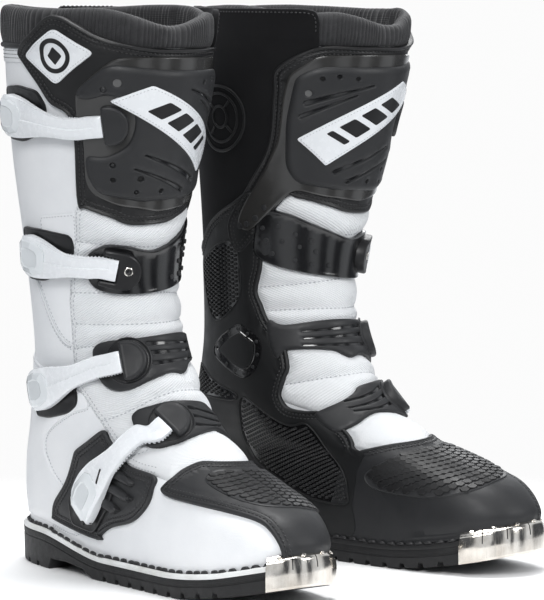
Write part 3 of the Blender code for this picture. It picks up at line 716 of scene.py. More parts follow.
def make_materials():
    leather("white_leather", (0.79, 0.80, 0.815), (0.72, 0.735, 0.755), 0.42)
    leather("grey_leather", (0.66, 0.675, 0.69), (0.60, 0.615, 0.635), 0.4)
    leather("trim_leather", (0.0085, 0.0085, 0.009), (0.013, 0.013, 0.014), 0.42, 1500.0, 0.00006)
    leather("guard_leather", (0.0075, 0.0078, 0.0085), (0.011, 0.0115, 0.012), 0.45, 1500.0, 0.00006)
    leather("overlay_leather", (0.0135, 0.014, 0.0155), (0.018, 0.0185, 0.020), 0.5, 1500.0, 0.00006)
    moulded("charcoal_rubber", (0.0185, 0.019, 0.0205), (0.024, 0.0245, 0.026), 0.46)
    moulded("black_plastic", (0.0105, 0.0105, 0.0115), (0.015, 0.015, 0.016), 0.36)
    moulded("gloss_black", (0.006, 0.006, 0.0065), (0.009, 0.009, 0.010), 0.14, coat=0.6)
    moulded("base_rubber", (0.030, 0.0295, 0.0285), (0.038, 0.037, 0.036), 0.17, coat=0.5)
    moulded("sole_rubber", (0.0075, 0.0075, 0.008), (0.012, 0.012, 0.013), 0.56, 700.0, depth=0.0001)
    moulded("welt_white", (0.76, 0.77, 0.77), (0.56, 0.56, 0.54), 0.6, 500.0, depth=0.0002)
    moulded("white_plastic", (0.80, 0.82, 0.84), (0.77, 0.79, 0.815), 0.25, coat=0.3, depth=0.000008)
    moulded("gem_plastic", (0.66, 0.69, 0.71), (0.74, 0.77, 0.79), 0.1, coat=0.8, depth=0.000008)
    # near black, darker than any real black here: painted shade for the insides of holes, slits and screw
    # slots; the fourth lever's dark mark uses it too
    moulded("hole_dark", (0.003, 0.003, 0.003), (0.005, 0.005, 0.005), 0.5)
    moulded("hole_grey", (0.10, 0.10, 0.10), (0.125, 0.125, 0.124), 0.35)
    moulded("emblem_black", (0.009, 0.009, 0.010), (0.014, 0.014, 0.015), 0.38)

    for name, colour, rough in (("thread_black", (0.020, 0.020, 0.021), 0.42),
                                ("thread_white", (0.36, 0.37, 0.39), 0.7),
                                ("cord_black", (0.010, 0.010, 0.011), 0.5)):
        s = Shader(name)
        s.blend(s.noise(900.0, 2.0), colour, tuple(min(1.0, c * 1.5) for c in colour))
        s.fixed(Roughness=rough)
        twist = s.node("TexWave", {"bands_direction": "DIAGONAL"}, Vector=s.where(), Scale=420.0,
                       Distortion=1.0)
        s.bump(twist.outputs["Fac"], 0.0002, 0.5)

    # woven white textile of the flex zones: fine diagonal ribs crossed by finer threads, with painted shade
    # darkening the weave's valleys
    s = Shader("white_weave")
    spot = s.node("SeparateXYZ", Vector=s.where(True))
    slant = s.math("ADD", spot.outputs["X"], s.math("MULTIPLY", spot.outputs["Y"], 1.35))
    rib = s.math("SINE", s.math("MULTIPLY", slant, 2 * math.pi / 0.0024))
    cross = s.math("SINE", s.math("MULTIPLY", s.math("SUBTRACT", spot.outputs["X"], spot.outputs["Y"]),
                                  2 * math.pi / 0.0011))
    weave = s.math("ADD", s.math("MULTIPLY", rib, 0.7), s.math("MULTIPLY", cross, 0.3))
    # the colour follows the weave's height: its valleys are painted darker as painted shade, with a random
    # cloudy tone on top
    shade = s.math("ADD", s.span(weave, -1.0, 1.0, 0.0, 0.7), s.span(s.noise(25.0), 0.3, 0.7, 0.0, 0.3))
    s.blend(shade, (0.66, 0.68, 0.70), (0.83, 0.84, 0.85))
    s.fixed(Roughness=0.62, Sheen_Weight=0.15, Sheen_Roughness=0.5)
    s.bump(weave, 0.00022, 0.8)

    # suede: short nap with cloudy brushing
    s = Shader("suede")
    s.blend(s.span(s.noise(30.0, 6.0, 0.65), 0.3, 0.75, 0.0, 1.0),
            (0.0035, 0.0035, 0.004), (0.007, 0.007, 0.0075))
    s.fixed(Roughness=0.95, Sheen_Weight=0.16, Sheen_Roughness=0.6, Sheen_Tint=(0.3, 0.3, 0.32, 1.0),
            Specular_IOR_Level=0.2)
    s.bump(s.noise(1500.0, 4.0, 0.8), 0.0003, 0.7)

    # ribbed elastic knit
    s = Shader("knit")
    s.blend(s.span(s.noise(160.0, 5.0), 0.3, 0.7, 0.0, 1.0), (0.011, 0.011, 0.0125), (0.022, 0.022, 0.024))
    s.fixed(Roughness=0.85, Sheen_Weight=0.2, Sheen_Roughness=0.5)
    spot = s.node("SeparateXYZ", Vector=s.where(True))
    knit = s.math("SINE", s.math("MULTIPLY", spot.outputs["Y"], 2 * math.pi / 0.0009))
    first = s.bump(knit, 0.00015, 0.6)
    s.bump(s.noise(1200.0, 3.0), 0.0002, 0.5, first)

    s = Shader("lining")
    s.blend(s.noise(300.0, 4.0), (0.02, 0.02, 0.022), (0.035, 0.035, 0.038))
    s.fixed(Roughness=0.9, Sheen_Weight=0.2)
    s.bump(s.noise(900.0, 3.0), 0.0003, 0.7)

    # polished steel with fine drawn lines and faint warm stains
    s = Shader("steel")
    s.blend(s.span(s.noise(45.0, 5.0), 0.35, 0.7, 0.0, 1.0), (0.78, 0.75, 0.70), (0.50, 0.46, 0.41))
    s.rough(s.noise(900.0, 2.0, 0.5, stretch=(1.0, 1.0, 0.02)), 0.07, 0.2)
    s.fixed(Metallic=1.0)
    s.bump(s.noise(38.0, 1.5, 0.5, stretch=(1.0, 1.0, 0.35)), 0.004, 0.8)


make_materials()


# ---------------------------------------------------------------- outline helpers
def corners(points, radius, per=4):
    """A polygon of angle and station places with its corners rounded to a radius in millimetres."""
    p = np.asarray(points, float)
    scale = flat_scale(p)
    q = p * scale
    out = []
    n = len(q)
    for i in range(n):
        a, b, c = q[i - 1], q[i], q[(i + 1) % n]
        r1 = min(radius, np.linalg.norm(a - b) * 0.45)
        r2 = min(radius, np.linalg.norm(c - b) * 0.45)
        start = b + unit(a - b) * r1
        end = b + unit(c - b) * r2
        for t in np.linspace(0, 1, per + 1):
            out.append((1 - t) ** 2 * start + 2 * t * (1 - t) * b + t * t * end)
    return np.array(out) / scale


def plate(name, look, points, slot, top, radius=2.0, spacing=1.3, **rest):
    """A layer with straight edges and rounded corners."""
    loop = turned(walk(corners(points, radius), spacing))
    return layer(name, look, loop, slot, top, ready=True, **rest)


def part_of(loop, keep):
    """The longest run of a closed loop whose points pass a test, as an open line."""
    ok = np.array([bool(keep(p[0], p[1])) for p in loop])
    if ok.all():
        return np.vstack([loop, loop[:1]])
    start = int(np.nonzero(~ok)[0][0])
    order = [(start + i) % len(loop) for i in range(len(loop))]
    best, run = [], []
    for i in order:
        if ok[i]:
            run.append(i)
        else:
            best, run = max(best, run, key=len), []
    best = max(best, run, key=len)
    return loop[best]


HOLE = [(0.5, 0.0), (0.1, -0.35), (-0.1, -0.9), (-0.35, -1.7)]
GOUGE = [(0.6, 0.0), (0.1, -0.3), (-0.35, -1.3), (-0.7, -1.7)]
RECESS = [(0.4, 0.0), (0.0, -0.2), (-0.3, -0.7)]
BEAD = [(0.0, -1.4), (0.15, -0.3), (0.7, 0.35), (1.5, 0.6), (2.3, 0.25), (2.9, -0.35), (3.7, -0.45),
        (4.3, -0.1), (5.0, 0.05), (5.8, -0.1), (6.4, -0.5)]

THREADS = {}


def thread(kind, slot="foot_shell"):
    key = (kind, slot)
    if key not in THREADS:
        THREADS[key] = Gather()
    return THREADS[key]


# ---------------------------------------------------------------- the skin, lining and collar
SKIN_THICK = 3.4
COLLAR_FOOT = 12.02
COLLAR_STATION = 12.98
MM_PER_STATION = 28
COLLAR_RIBS = 140
RIB_DEPTH = 1.15


def upper_skin():
    around = 220
    phis = np.arange(around) * 360.0 / around
    up = np.concatenate([np.linspace(0, 4, 44), np.linspace(4, 8, 50)[1:], np.linspace(8, 12, 50)[1:]])
    down = np.linspace(12, 0, 46)
    rows = [surface(phis, v) for v in up]
    rows += [on_boot(phis, 12.0, h) + [0, 0, 0.5] for h in (-0.7, -2.6)]
    rows += [on_boot(phis, v, -SKIN_THICK) for v in down]
    rows[-1][:, 2] = rows[0][:, 2]
    count = len(rows)
    faces = strip_faces(count, around, closed=True, flip=True)
    which = np.repeat(np.arange(count) >= len(up), around)
    heights = np.concatenate([up, [12, 12], down])
    place = np.zeros((count, around, 3))
    place[..., 0] = phis[None] * 1.1
    place[..., 1] = heights[:, None] * 36.0
    add("upper_skin", ["white_leather", "lining"], np.vstack(rows), faces, "foot_shell", which=which,
        place=place.reshape(-1, 3), hides=("foot_shell", "shaft_shell"), sharp=60)


def collar_top(phi):
    """Station of the collar's top edge: it sags over the shin and stands up at the sides and back."""
    p = (phi + 180) % 360 - 180
    dip = 0.50 * math.exp(-((p - 2) / 30) ** 2) + 0.14 * math.exp(-((p + 62) / 16) ** 2)
    return 13.0 - dip + 0.05 * math.sin(math.radians(3 * p + 40))


def collar():
    around = 1000
    rng = np.random.default_rng(7)
    phis = np.arange(around) * 360.0 / around
    tops = np.array([collar_top(p) for p in phis])
    # ribs of uneven width: a wandering phase makes some of them close up into deeper pleats
    step = np.ones(around)
    for waves in (5, 9, 14, 23):
        step += 0.2 * np.sin(2 * math.pi * waves * phis / 360 + rng.uniform(0, 6.28))
    phase = np.cumsum(step)
    phase *= 2 * math.pi * COLLAR_RIBS / phase[-1]
    folds = sum(a * np.sin(2 * math.pi * w * phis / 360 + rng.uniform(0, 6.28))
                for w, a in ((4, 0.5), (7, 0.7), (13, 0.6), (19, 0.45)))
    section = [(0.00, -0.6), (0.03, 0.3), (0.12, 0.9), (0.25, 1.1), (0.4, 1.0), (0.55, 0.7), (0.7, 0.4),
               (0.82, 0.0), (0.91, -0.8), (0.97, -2.0), (1.0, -3.6), (1.0, -5.4), (0.96, -7.0),
               (0.88, -8.2), (0.74, -8.8), (0.55, -9.0), (0.35, -8.6), (0.15, -7.4), (0.0, -6.0), (0.0, -3.0)]
    dense = curve(section, closed=True, per=2)
    rows = []
    for share, h in dense:
        v = COLLAR_FOOT + (tops - COLLAR_FOOT) * share
        lean = math.sin(math.pi * min(max(share, 0), 1))
        rib = np.abs(np.sin(phase / 2 + 0.5 * share)) ** 0.7
        fade = 0.35 + 0.65 * min(1.0, share * 3)
        bend = folds * (0.35 + 0.65 * share) * (0.6 if h < -5 else 1.0)
        height = h + (rib - 0.6) * RIB_DEPTH * fade + 1.5 * bend * fade + 0.5 * lean
        spots = on_boot(phis, np.minimum(v, COLLAR_STATION), height)
        spots[:, 2] += np.maximum(v - COLLAR_STATION, 0) * MM_PER_STATION
        rows.append(spots)
    count = len(rows)
    faces = strip_faces(count, around, closed=True, flip=True)
    place = np.zeros((count, around, 3))
    place[..., 0] = phis[None] * 1.2
    place[..., 1] = np.arange(count)[:, None] * 1.6
    for ob in add("collar_knit", "knit", np.vstack(rows), faces, "collar", place=place.reshape(-1, 3),
                  hides=("collar",), sharp=80):
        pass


# ---------------------------------------------------------------- the flex zone over the front
FLEX = [(56.5, 9.3), (60.5, 8.79), (66.5, 8.2), (69.9, 7.81), (72.5, 7.34), (77, 6.7), (79.5, 6.1), (76, 5.7),
        (71.5, 5.1), (70.3, 4.6), (71.0, 3.85), (66.5, 3.52), (59, 3.45), (50, 3.3), (36, 3.75), (18, 4.1),
        (-10, 4.05), (-34, 3.9), (-52, 3.55), (-60, 4.2), (-58, 5.0), (-78, 5.4), (-76, 6.2), (-68, 6.8),
        (-76, 7.5), (-80, 8.0), (-74, 8.8), (-64, 9.25), (-40, 9.25), (0, 9.15), (36, 9.3)]
CHANNELS = [
    [(62, 8.76), (30, 8.64), (0, 8.6), (-40, 8.66), (-80, 8.8)],
    [(70, 7.98), (30, 7.9), (0, 7.88), (-40, 7.85), (-80, 7.86)],
    [(74, 7.43), (40, 7.36), (0, 7.34), (-40, 7.38), (-78, 7.42)],
    [(79, 6.92), (54, 6.97), (0, 6.95), (-40, 6.95), (-72, 6.9)],
    [(76, 5.2), (62, 5.42), (42, 5.75), (24, 5.97), (0, 6.08), (-40, 5.98), (-78, 5.7)],
    [(74, 4.05), (63, 4.27), (42, 4.78), (12, 5.13), (-15, 5.2), (-32, 5.11), (-60, 4.75)],
]


def flex_zone():
    loop = turned(walk(curve(FLEX, per=6), 2.0))
    seams = [walk(curve(c, closed=False, per=6), 2.2, closed=False) for c in CHANNELS]
    clear = inset(loop, 1.6)
    seams = [s[inside(s, clear)] for s in seams]
    # the padding is pressed flat where another layer is sewn over it
    covers = [turned(walk(curve(c, per=6), 2.2)) for c in (TRIM, OVERLAY, GUARD, TAB2, TAB3, TAB4)]
    pressed = np.vstack(seams + covers + [loop])
    rng = np.random.default_rng(3)
    waves = [(rng.uniform(0.10, 0.24), rng.uniform(0, 6.28), rng.uniform(-0.1, 0.1)) for k in range(7)]

    def puff(phi, v):
        pos = surface(phi, v)
        spots = np.column_stack([phi, v])
        d = gaps(spots, pressed)
        for cover in covers:
            d[inside(spots, cover)] = 0.0
        crown = 2.95 * (1 - np.exp(-(d / 4.6) ** 1.3)) - 0.3 * np.exp(-(d / 1.0) ** 2)
        pucker = sum(np.sin(pos[:, 0] * k * 4 + b + pos[:, 2] * c * 3) for k, b, c in waves) / 7
        return crown + pucker * 0.55 * np.exp(-((d - 2.2) / 2.2) ** 2)

    for ob in layer("flex_panel", "white_weave", loop, "foot_shell", 0.7, step=2.3, ready=True, lines=seams,
                    relief=puff, rim=[(0.0, -0.8), (0.4, -0.1)], sharp=70)[1]:
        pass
    for s in seams:
        shown = s
        for cover in covers:
            shown = shown[~inside(shown, inset(cover, -1.5))]
        if len(shown) > 3:
            sew(thread("thread_white"), shown, 0.7, pitch=3.4, length=2.2, radius=0.34)
    # the leather facing down its outer edge, with two rows of stitches
    edge = part_of(loop, lambda phi, v: phi > 50 and v > 3.45)
    if edge[0][1] < edge[-1][1]:
        edge = edge[::-1]
    for d in (2.2, 5.2):
        row = aside(edge, d)
        if not inside(row[len(row) // 2][None], loop)[0]:
            row = aside(edge, -d)
        sew(thread("thread_white"), row, lambda phi, v: 0.75 + puff(phi, v), pitch=3.2, length=2.2,
            radius=0.3)


def seam(loop, distance, height, keep=None, kind="thread_black", pitch=3.0, length=2.1, radius=0.4):
    """A row of stitches a set distance in from the edge of a loop."""
    row = inset(loop, distance)
    closed = keep is None
    if keep is not None:
        row = part_of(row, keep)
    if len(row) > 3:
        sew(thread(kind), row, height, pitch=pitch, length=length, radius=radius, closed=closed)


def staggered(loop, across, up):
    """Places inside a loop in rows a set distance apart, every second row shifted by half a step."""
    low, high = loop.min(0), loop.max(0)
    middle = 0.5 * (low + high)
    v = low[1]
    row = 0
    out = []
    while v < high[1]:
        phis, run = level_row(loop, v, 80)
        run -= np.interp(middle[0], phis, run)
        start = math.ceil(run[0] / across) * across + (across / 2 if row % 2 else 0.0)
        s = np.arange(start, run[-1], across)
        out.append(np.stack([np.interp(s, run, phis), np.full(len(s), v)], -1))
        v += up / float(np.linalg.norm(tangents(middle[0], v)[1]))
        row += 1
    spots = np.vstack(out)
    return spots[inside(spots, loop)]


def bead_seams(loop, height, keep=None, relief=None):
    """The two rows of stitches in the hollows of a beaded rim."""
    for distance, drop in ((3.4, 0.0), (6.3, 0.1)):
        level = height - drop
        seam(loop, distance, (lambda phi, v: level + relief(phi, v)) if relief else level, keep=keep)


def over_collar(reach):
    """Extra height of a layer where it passes from the shaft on to the thicker collar."""
    return lambda phi, v: 2.4 * smooth((v - 11.85) / reach)


# ---------------------------------------------------------------- white leather layers and their seams
FINE = dict(pitch=2.9, length=2.0, radius=0.24)


def white_layers():
    patch = plate("rear_patch", "white_leather", [(88, 9.16), (58, 9.16), (58, 8.3), (88, 8.3)],
                  "foot_shell", 0.9, radius=3.0)[0]
    seam(patch, 1.6, 1.0, kind="thread_white", pitch=2.8, length=1.9, radius=0.24)
    heel = [(80, 6.0), (77, 5.6), (90, 5.35), (108, 4.77), (119, 4.19), (123.2, 3.53), (122.4, 2.88),
            (120.6, 2.38), (117.6, 1.99), (113, 1.2), (112, 0.3), (150, 0.3), (190, 0.3), (190, 3.0),
            (190, 6.0), (165, 6.9), (135, 6.75), (105, 6.4)]
    counter = layer("heel_counter", "white_leather", heel, "foot_shell", 1.1, step=5.0, per=5)[0]
    front = part_of(inset(counter, -1.2), lambda phi, v: phi < 126 and v < 5.9)
    for gap in (0.0, 2.2):
        sew(thread("thread_white"), aside(front, gap), 0.25, **FINE)
    top_row = part_of(inset(counter, 2.0), lambda phi, v: v > 5.9)
    sew(thread("thread_white"), top_row, 1.15, **FINE)
    backstay = plate("backstay", "grey_leather", [(158, 11.9), (189, 11.9), (189, 6.4), (160, 6.4)],
                     "foot_shell", 1.6, radius=4.0, spacing=2.0)[0]
    seam(backstay, 2.0, 1.7, kind="thread_white", **FINE)
    piping = curve([(102, 8.5), (99.8, 8.23), (94, 7.85), (88, 7.41), (82, 7.11), (76, 6.98)], closed=False)
    points, faces = tube(piping, 0.5, 1.0)
    add("quarter_piping", "grey_leather", points, faces, "foot_shell", sharp=80)
    for gap in (-2.4, 2.4):
        sew(thread("thread_white"), aside(walk(piping, 2.0, closed=False), gap), 0.15, **FINE)
    plate("top_hem", "white_leather", [(94, 11.98), (191, 11.98), (191, 11.62), (94, 11.62)],
          "foot_shell", 0.9, radius=1.0, spacing=2.0)
    for v in (11.74, 11.83, 11.92):
        line = np.array([(96.0, v), (130.0, v), (160.0, v), (189.0, v)])
        sew(thread("thread_black"), line, 1.0, pitch=2.6, length=2.0, radius=0.2)
    binding = curve([(90, 12.05), (120, 12.05), (150, 12.05), (191, 12.05)], closed=False)
    points, faces = tube(binding, 1.0, 1.9, sides=10)
    add("top_binding", "cord_black", points, faces, "collar", sharp=80)


# ---------------------------------------------------------------- inner side: suede, guard, grip patches
SUEDE = [(-168, 12.95), (-130, 12.97), (-100, 12.97), (-70, 12.97), (-54, 12.95), (-49, 12.8), (-47.5, 12.4),
         (-48, 11.9), (-60, 11.6), (-66, 10.9), (-66, 10.0), (-74, 9.4), (-80, 9.1), (-94, 8.9), (-120, 8.5),
         (-145, 8.1), (-168, 8.0)]
GUARD = [(-168, 8.35), (-140, 8.62), (-118, 8.98), (-94, 9.24), (-79, 9.37), (-72, 8.8), (-70, 8.26),
         (-74, 7.81), (-71, 7.53), (-67, 7.2), (-61, 6.9), (-59, 6.6), (-61, 6.2), (-66, 5.95), (-70.5, 5.7),
         (-74, 5.45), (-73, 5.15), (-64, 5.1), (-55, 5.12), (-51, 4.8), (-50, 4.46), (-53.5, 4.05),
         (-57, 3.76), (-56, 3.5), (-62, 3.1), (-72, 2.3), (-78, 1.2), (-80, 0.04), (-110, 0.03), (-140, 0.03),
         (-166, 0.06), (-168, 0.6), (-169, 4)]
GRIPS = [
    [(-98, 8.66), (-133, 8.38), (-131, 8.0), (-115, 7.29), (-89.5, 7.67), (-88, 8.34)],
    [(-148, 6.0), (-120, 5.55), (-104, 5.32), (-108, 5.1), (-130, 5.0), (-155, 4.89)],
    [(-99, 5.25), (-109, 4.06), (-112, 3.0), (-110, 2.17), (-96, 1.25), (-81, 1.13), (-79, 1.65), (-75, 3.02),
     (-69, 4.54), (-82, 4.47)],
]
GUARD_TOP = 3.0


def medial_side():
    suede = layer("medial_suede", "suede", SUEDE, "medial_guard", 2.0, step=5.0, per=6, fine=2.0,
                  relief=over_collar(0.4), hides=("medial_guard",))[0]
    seam(suede, 2.6, 2.1, keep=lambda phi, v: v < 11.7 and phi > -92)
    seam(suede, 2.6, 4.5, keep=lambda phi, v: v > 12.4)
    # a plain embossed pattern of rings
    rings = Gather()
    middle = (-104, 10.52)
    for radius, width in ((25, 1.2), (18.5, 1.1), (8, 1.1)):
        ring = round_spot(*middle, radius, 60)
        rings.put(*tube(ring, 2.0, width, sides=10, closed=True, spacing=1.5, flat=0.8))
    reach = np.array([9.5, 17.0])
    for a in turn_of(4) + math.radians(45):
        line = beside(*middle, reach * math.cos(a), reach * math.sin(a))
        rings.put(*tube(line, 2.0, 1.1, sides=10, flat=0.8))
    rings.piece("suede_rings", "guard_leather", "medial_guard", sharp=80)

    def open_rim(phi, v):
        return 1.0 - smooth((3.9 - v) / 0.3) * smooth((phi + 100) / 10)

    shapes = [turned(walk(curve(g, per=6), 1.6)) for g in GRIPS]
    marks = [(s, RECESS, "gloss_black") for s in shapes]
    guard = layer("smooth_guard", "guard_leather", GUARD, "medial_guard", GUARD_TOP, rim=BEAD, step=3.4,
                  per=7, marks=marks, calm=open_rim)[0]
    bead_seams(guard, GUARD_TOP - 0.1, keep=lambda phi, v: v > 3.75)
    shape = np.array([(1.5 * math.cos(k), 1.15 * math.sin(k)) for k in np.arange(8) * math.pi / 4])
    block, faces = prism(shape, -0.3, 1.3, 0.5)
    bumps = Gather()
    for s in shapes:
        stand(bumps, staggered(inset(s, 1.6), 7.0, 1.6), GUARD_TOP - 0.7, block, faces)
    bumps.piece("grip_bumps", "black_plastic", "medial_guard", sharp=60)
    for k, s in enumerate(shapes):
        points, faces = tube(inset(s, -0.5), GUARD_TOP, 0.6, sides=6, closed=True)
        add("grip_rim_%d" % (k + 1), "guard_leather", points, faces, "medial_guard", sharp=80)
    # the ankle ring: a glossy sunk band with round studs
    outer = turned(walk(curve([(-90.5, 7.17), (-82.4, 7.04), (-75.3, 6.83), (-76.4, 6.52), (-83.2, 6.12),
                               (-93, 5.85), (-101, 5.92), (-110.5, 6.17), (-118, 6.4), (-118, 6.66),
                               (-105.7, 6.98)], per=6), 1.2))
    layer("ankle_ring", "gloss_black", outer, "medial_guard", GUARD_TOP + 0.35, ready=True, step=2.0,
          rim=[(0.0, -0.6), (0.25, 0.2), (0.8, 0.3), (1.2, -0.25), (5.4, -0.25), (5.8, 0.25), (6.2, 0.3)])
    layer("ankle_heart", "guard_leather", inset(outer, 6.4), "medial_guard", GUARD_TOP + 0.8,
          ready=True, step=3.0, rim=[(0.0, -0.8), (0.5, -0.15), (1.5, 0.0)])
    studs = Gather()
    shape, faces = dome(1.45, 1.0)
    stand(studs, walk(inset(outer, 3.3), 10.2), GUARD_TOP - 0.1, shape, faces)
    studs.piece("ankle_studs", "charcoal_rubber", "medial_guard", sharp=30)


# ---------------------------------------------------------------- the shin: trim, base, plate, strip, badge
TRIM = [(-48, 12.0), (-20, 12.02), (10, 12.02), (30, 12.15), (45, 12.35), (56, 12.62), (64, 12.8),
        (72, 12.78), (82, 12.4), (92, 12.05), (95, 11.85), (90, 11.6), (80, 11.15), (72, 10.8),
        (61, 10.6), (57, 10.19), (56, 9.31), (50, 9.21), (34, 9.06), (20, 8.94), (-7, 8.95),
        (-25, 9.06), (-48, 9.22), (-58, 9.21), (-86, 8.46), (-98, 8.91), (-82, 9.47), (-70, 10.04),
        (-69, 10.9), (-68, 11.46)]
SHIN_BASE = [(-46, 11.80), (-10, 11.83), (20, 11.83), (36, 11.80), (45, 11.45), (56, 11.02), (55.5, 10.6),
             (51, 10.2), (50, 9.6), (46, 9.42), (30, 9.24), (0, 9.12), (-30, 9.22), (-52, 9.36), (-66, 9.05),
             (-80, 8.75), (-90, 8.92), (-84, 9.2), (-72, 9.6), (-64, 10.1), (-63, 10.9), (-61, 11.3)]
SHIN = [(57, 10.95), (38, 11.66), (10, 11.5), (-20, 11.48), (-45, 11.5), (-57, 11.25), (-60, 10.4),
        (-58, 9.7), (-50, 9.45), (-23, 9.32), (14, 9.28), (42, 9.42), (49, 9.7), (50, 10.0),
        (38, 9.93), (24.5, 10.1), (21, 10.43), (25, 10.8), (38, 10.97), (50, 10.84)]
SHIN_TOP = 6.4
STRIP = [(37, 10.84), (14.3, 11.15), (-53, 10.14), (-34, 9.70)]


def across_strip(along, up):
    """A place on the white strip, both shares from 0 to 1."""
    a, b, c, d = [np.array(p, float) for p in STRIP]
    return tuple((1 - along) * ((1 - up) * a + up * b) + along * ((1 - up) * d + up * c))


def shin():
    rise = over_collar(0.35)
    trim = layer("shin_trim", "trim_leather", TRIM, "shin_plate", 2.9, rim=BEAD, step=4.0, per=6,
                 relief=rise)[0]
    bead_seams(trim, 2.85, relief=rise)
    plate("shin_base", "base_rubber", SHIN_BASE, "shin_plate", 4.5, radius=6.0, step=4.0,
          rim=[(0.0, -1.0), (0.4, -0.2), (1.2, 0.1), (2.2, 0.0)])
    dots = Gather()
    shape, faces = dome(2.3, 1.3)
    stand(dots, [(-69.5, 9.13), (-75, 8.98), (-81, 8.9), (-86, 8.88)], 4.5, shape, faces)
    dots.piece("shin_dots", "charcoal_rubber", "shin_plate", sharp=30)
    marks = []
    for phi, v, radius in ((33.5, 11.2, 3.0), (40.6, 11.06, 2.1), (-49.4, 10.9, 2.6)):
        marks.append((round_spot(phi, v, radius), [(0.4, 0.0), (0.0, -0.3), (-0.15, -0.7)], "hole_grey"))
    # the small holes get near-black floors: painted shade deep inside the holes
    for phi, v, radius in ((33.5, 9.83, 2.0), (33, 9.62, 1.7), (16.1, 9.62, 2.1), (18.2, 9.43, 1.5),
                           (1.1, 9.44, 1.7), (-43, 11.2, 1.7), (-34, 11.25, 1.6), (-23.2, 11.2, 1.6)):
        marks.append((round_spot(phi, v, radius), HOLE, "hole_dark"))
    for start, end, wide, narrow in (((14, 9.96), (-27, 9.6), 0.8, 2.1),
                                     ((20, 9.76), (-17, 9.45), 0.7, 1.8),
                                     ((-12, 11.05), (-50, 10.72), 0.7, 2.0),
                                     ((-22, 10.85), (-52, 10.5), 0.7, 1.7)):
        marks.append((slot_shape(start, end, wide, narrow), GOUGE, "gloss_black"))

    def bow(phi, v):
        """The plate stands a little prouder along its middle."""
        ends = smooth((v - 9.3) / 0.5) * smooth((11.7 - v) / 0.4)
        return 1.2 * np.exp(-((phi - 2) / 30.0) ** 2) * ends

    plate("shin_plate", "charcoal_rubber", SHIN, "shin_plate", SHIN_TOP, radius=7.0, step=3.0,
          rim=[(0.0, -2.0), (0.3, -1.35), (1.2, -0.7), (2.8, -0.15), (4.4, 0.15), (6.0, 0.0)],
          marks=marks, relief=bow, hides=("shin_plate",))
    strip = plate("shin_strip", "white_plastic", STRIP, "shin_plate", SHIN_TOP + 0.9, radius=1.5, step=3.0,
                  relief=bow)[0]
    tiny = dict(kind="thread_white", pitch=2.4, length=1.7, radius=0.2)
    seam(strip, 1.7, lambda phi, v: SHIN_TOP + 0.95 + bow(phi, v), **tiny)
    for k, (start, wide) in enumerate(((0.20, 0.13), (0.38, 0.13), (0.56, 0.13), (0.74, 0.05))):
        corner = [across_strip(start + 0.05 * up + share * wide, up)
                  for share, up in ((0, 0.24), (1, 0.24), (1, 0.76), (0, 0.76))]
        plate("strip_bar_%d" % (k + 1), "emblem_black", corner, "shin_plate", SHIN_TOP + 1.15, radius=1.0,
              step=2.5, relief=bow, rim=[(0.0, -0.2), (0.2, 0.0)])

    diamond = [(67.5, 12.52), (46, 11.93), (67, 11.12), (88, 11.83)]
    badge = plate("badge", "white_plastic", diamond, "shin_plate", 4.2, radius=4.5, step=3.5,
                  relief=rise, rim=[(0.0, -1.0), (0.3, -0.2), (0.9, 0.0)])[0]
    seam(badge, 1.7, lambda phi, v: 4.25 + rise(phi, v), **tiny)
    middle = (67.3, 11.84)
    ring = round_spot(*middle, 12.2, 60)
    rows = []
    for d, h in ((0.0, 4.0), (0.0, 4.55), (3.2, 4.55), (3.2, 4.0)):
        spots = inset(ring, d).T
        rows.append(on_boot(*spots, h + rise(*spots)))
    faces = strip_faces(4, len(ring), closed=True, flip=True)
    add("badge_ring", "emblem_black", np.vstack(rows), faces, "shin_plate", sharp=30)
    small = beside(*middle, [0, 6.0, 0, -6.0], [6.5, 0, -6.5, 0])
    plate("badge_heart", "emblem_black", small, "shin_plate", 4.55, radius=0.6, step=2.5, relief=rise,
          rim=[(0.0, -0.25), (0.2, 0.0)])


# ---------------------------------------------------------------- toe overlay, instep plate and tabs
OVERLAY = [(62, 2.75), (58, 3.05), (50, 3.45), (39, 3.93), (24, 4.28), (10, 4.3), (-10, 4.24), (-34, 4.06),
           (-52, 3.75), (-60, 3.5), (-68, 3.2), (-76, 2.6), (-84, 1.5), (-86, 0.03), (-50, 0.02), (0, 0.03),
           (12, 0.05), (14, 0.3), (17.3, 1.45), (22, 1.95), (34.5, 2.25), (50, 2.42), (60, 2.52)]
HEX = [(32, 3.3), (29, 3.65), (18, 3.98), (-2, 3.98), (-28, 3.75), (-50, 3.2), (-66, 2.5), (-70, 2.05),
       (-66, 1.76), (-47, 1.66), (-28, 1.9), (-8, 2.25), (10, 2.4), (18, 2.53), (26, 2.8)]
INSTEP = [(73, 5.0), (71, 4.66), (70.5, 3.8), (59, 3.47), (66.6, 2.75), (75.8, 1.9), (84, 1.28), (94, 0.92),
          (99, 0.6), (100, 0.45), (122, 0.42), (124.0, 0.6), (121, 1.33), (110.5, 2.63), (101.6, 3.65),
          (94.4, 4.14)]
RIBS = [[(86, 3.75), (77, 3.5), (73.6, 2.9), (77.5, 2.62), (88, 3.1)],
        [(94, 3.0), (84.5, 2.6), (79.5, 2.16), (83.5, 1.95), (96, 2.4)],
        [(99, 2.25), (92, 1.98), (87.5, 1.6), (91.5, 1.4), (101.5, 1.75)]]


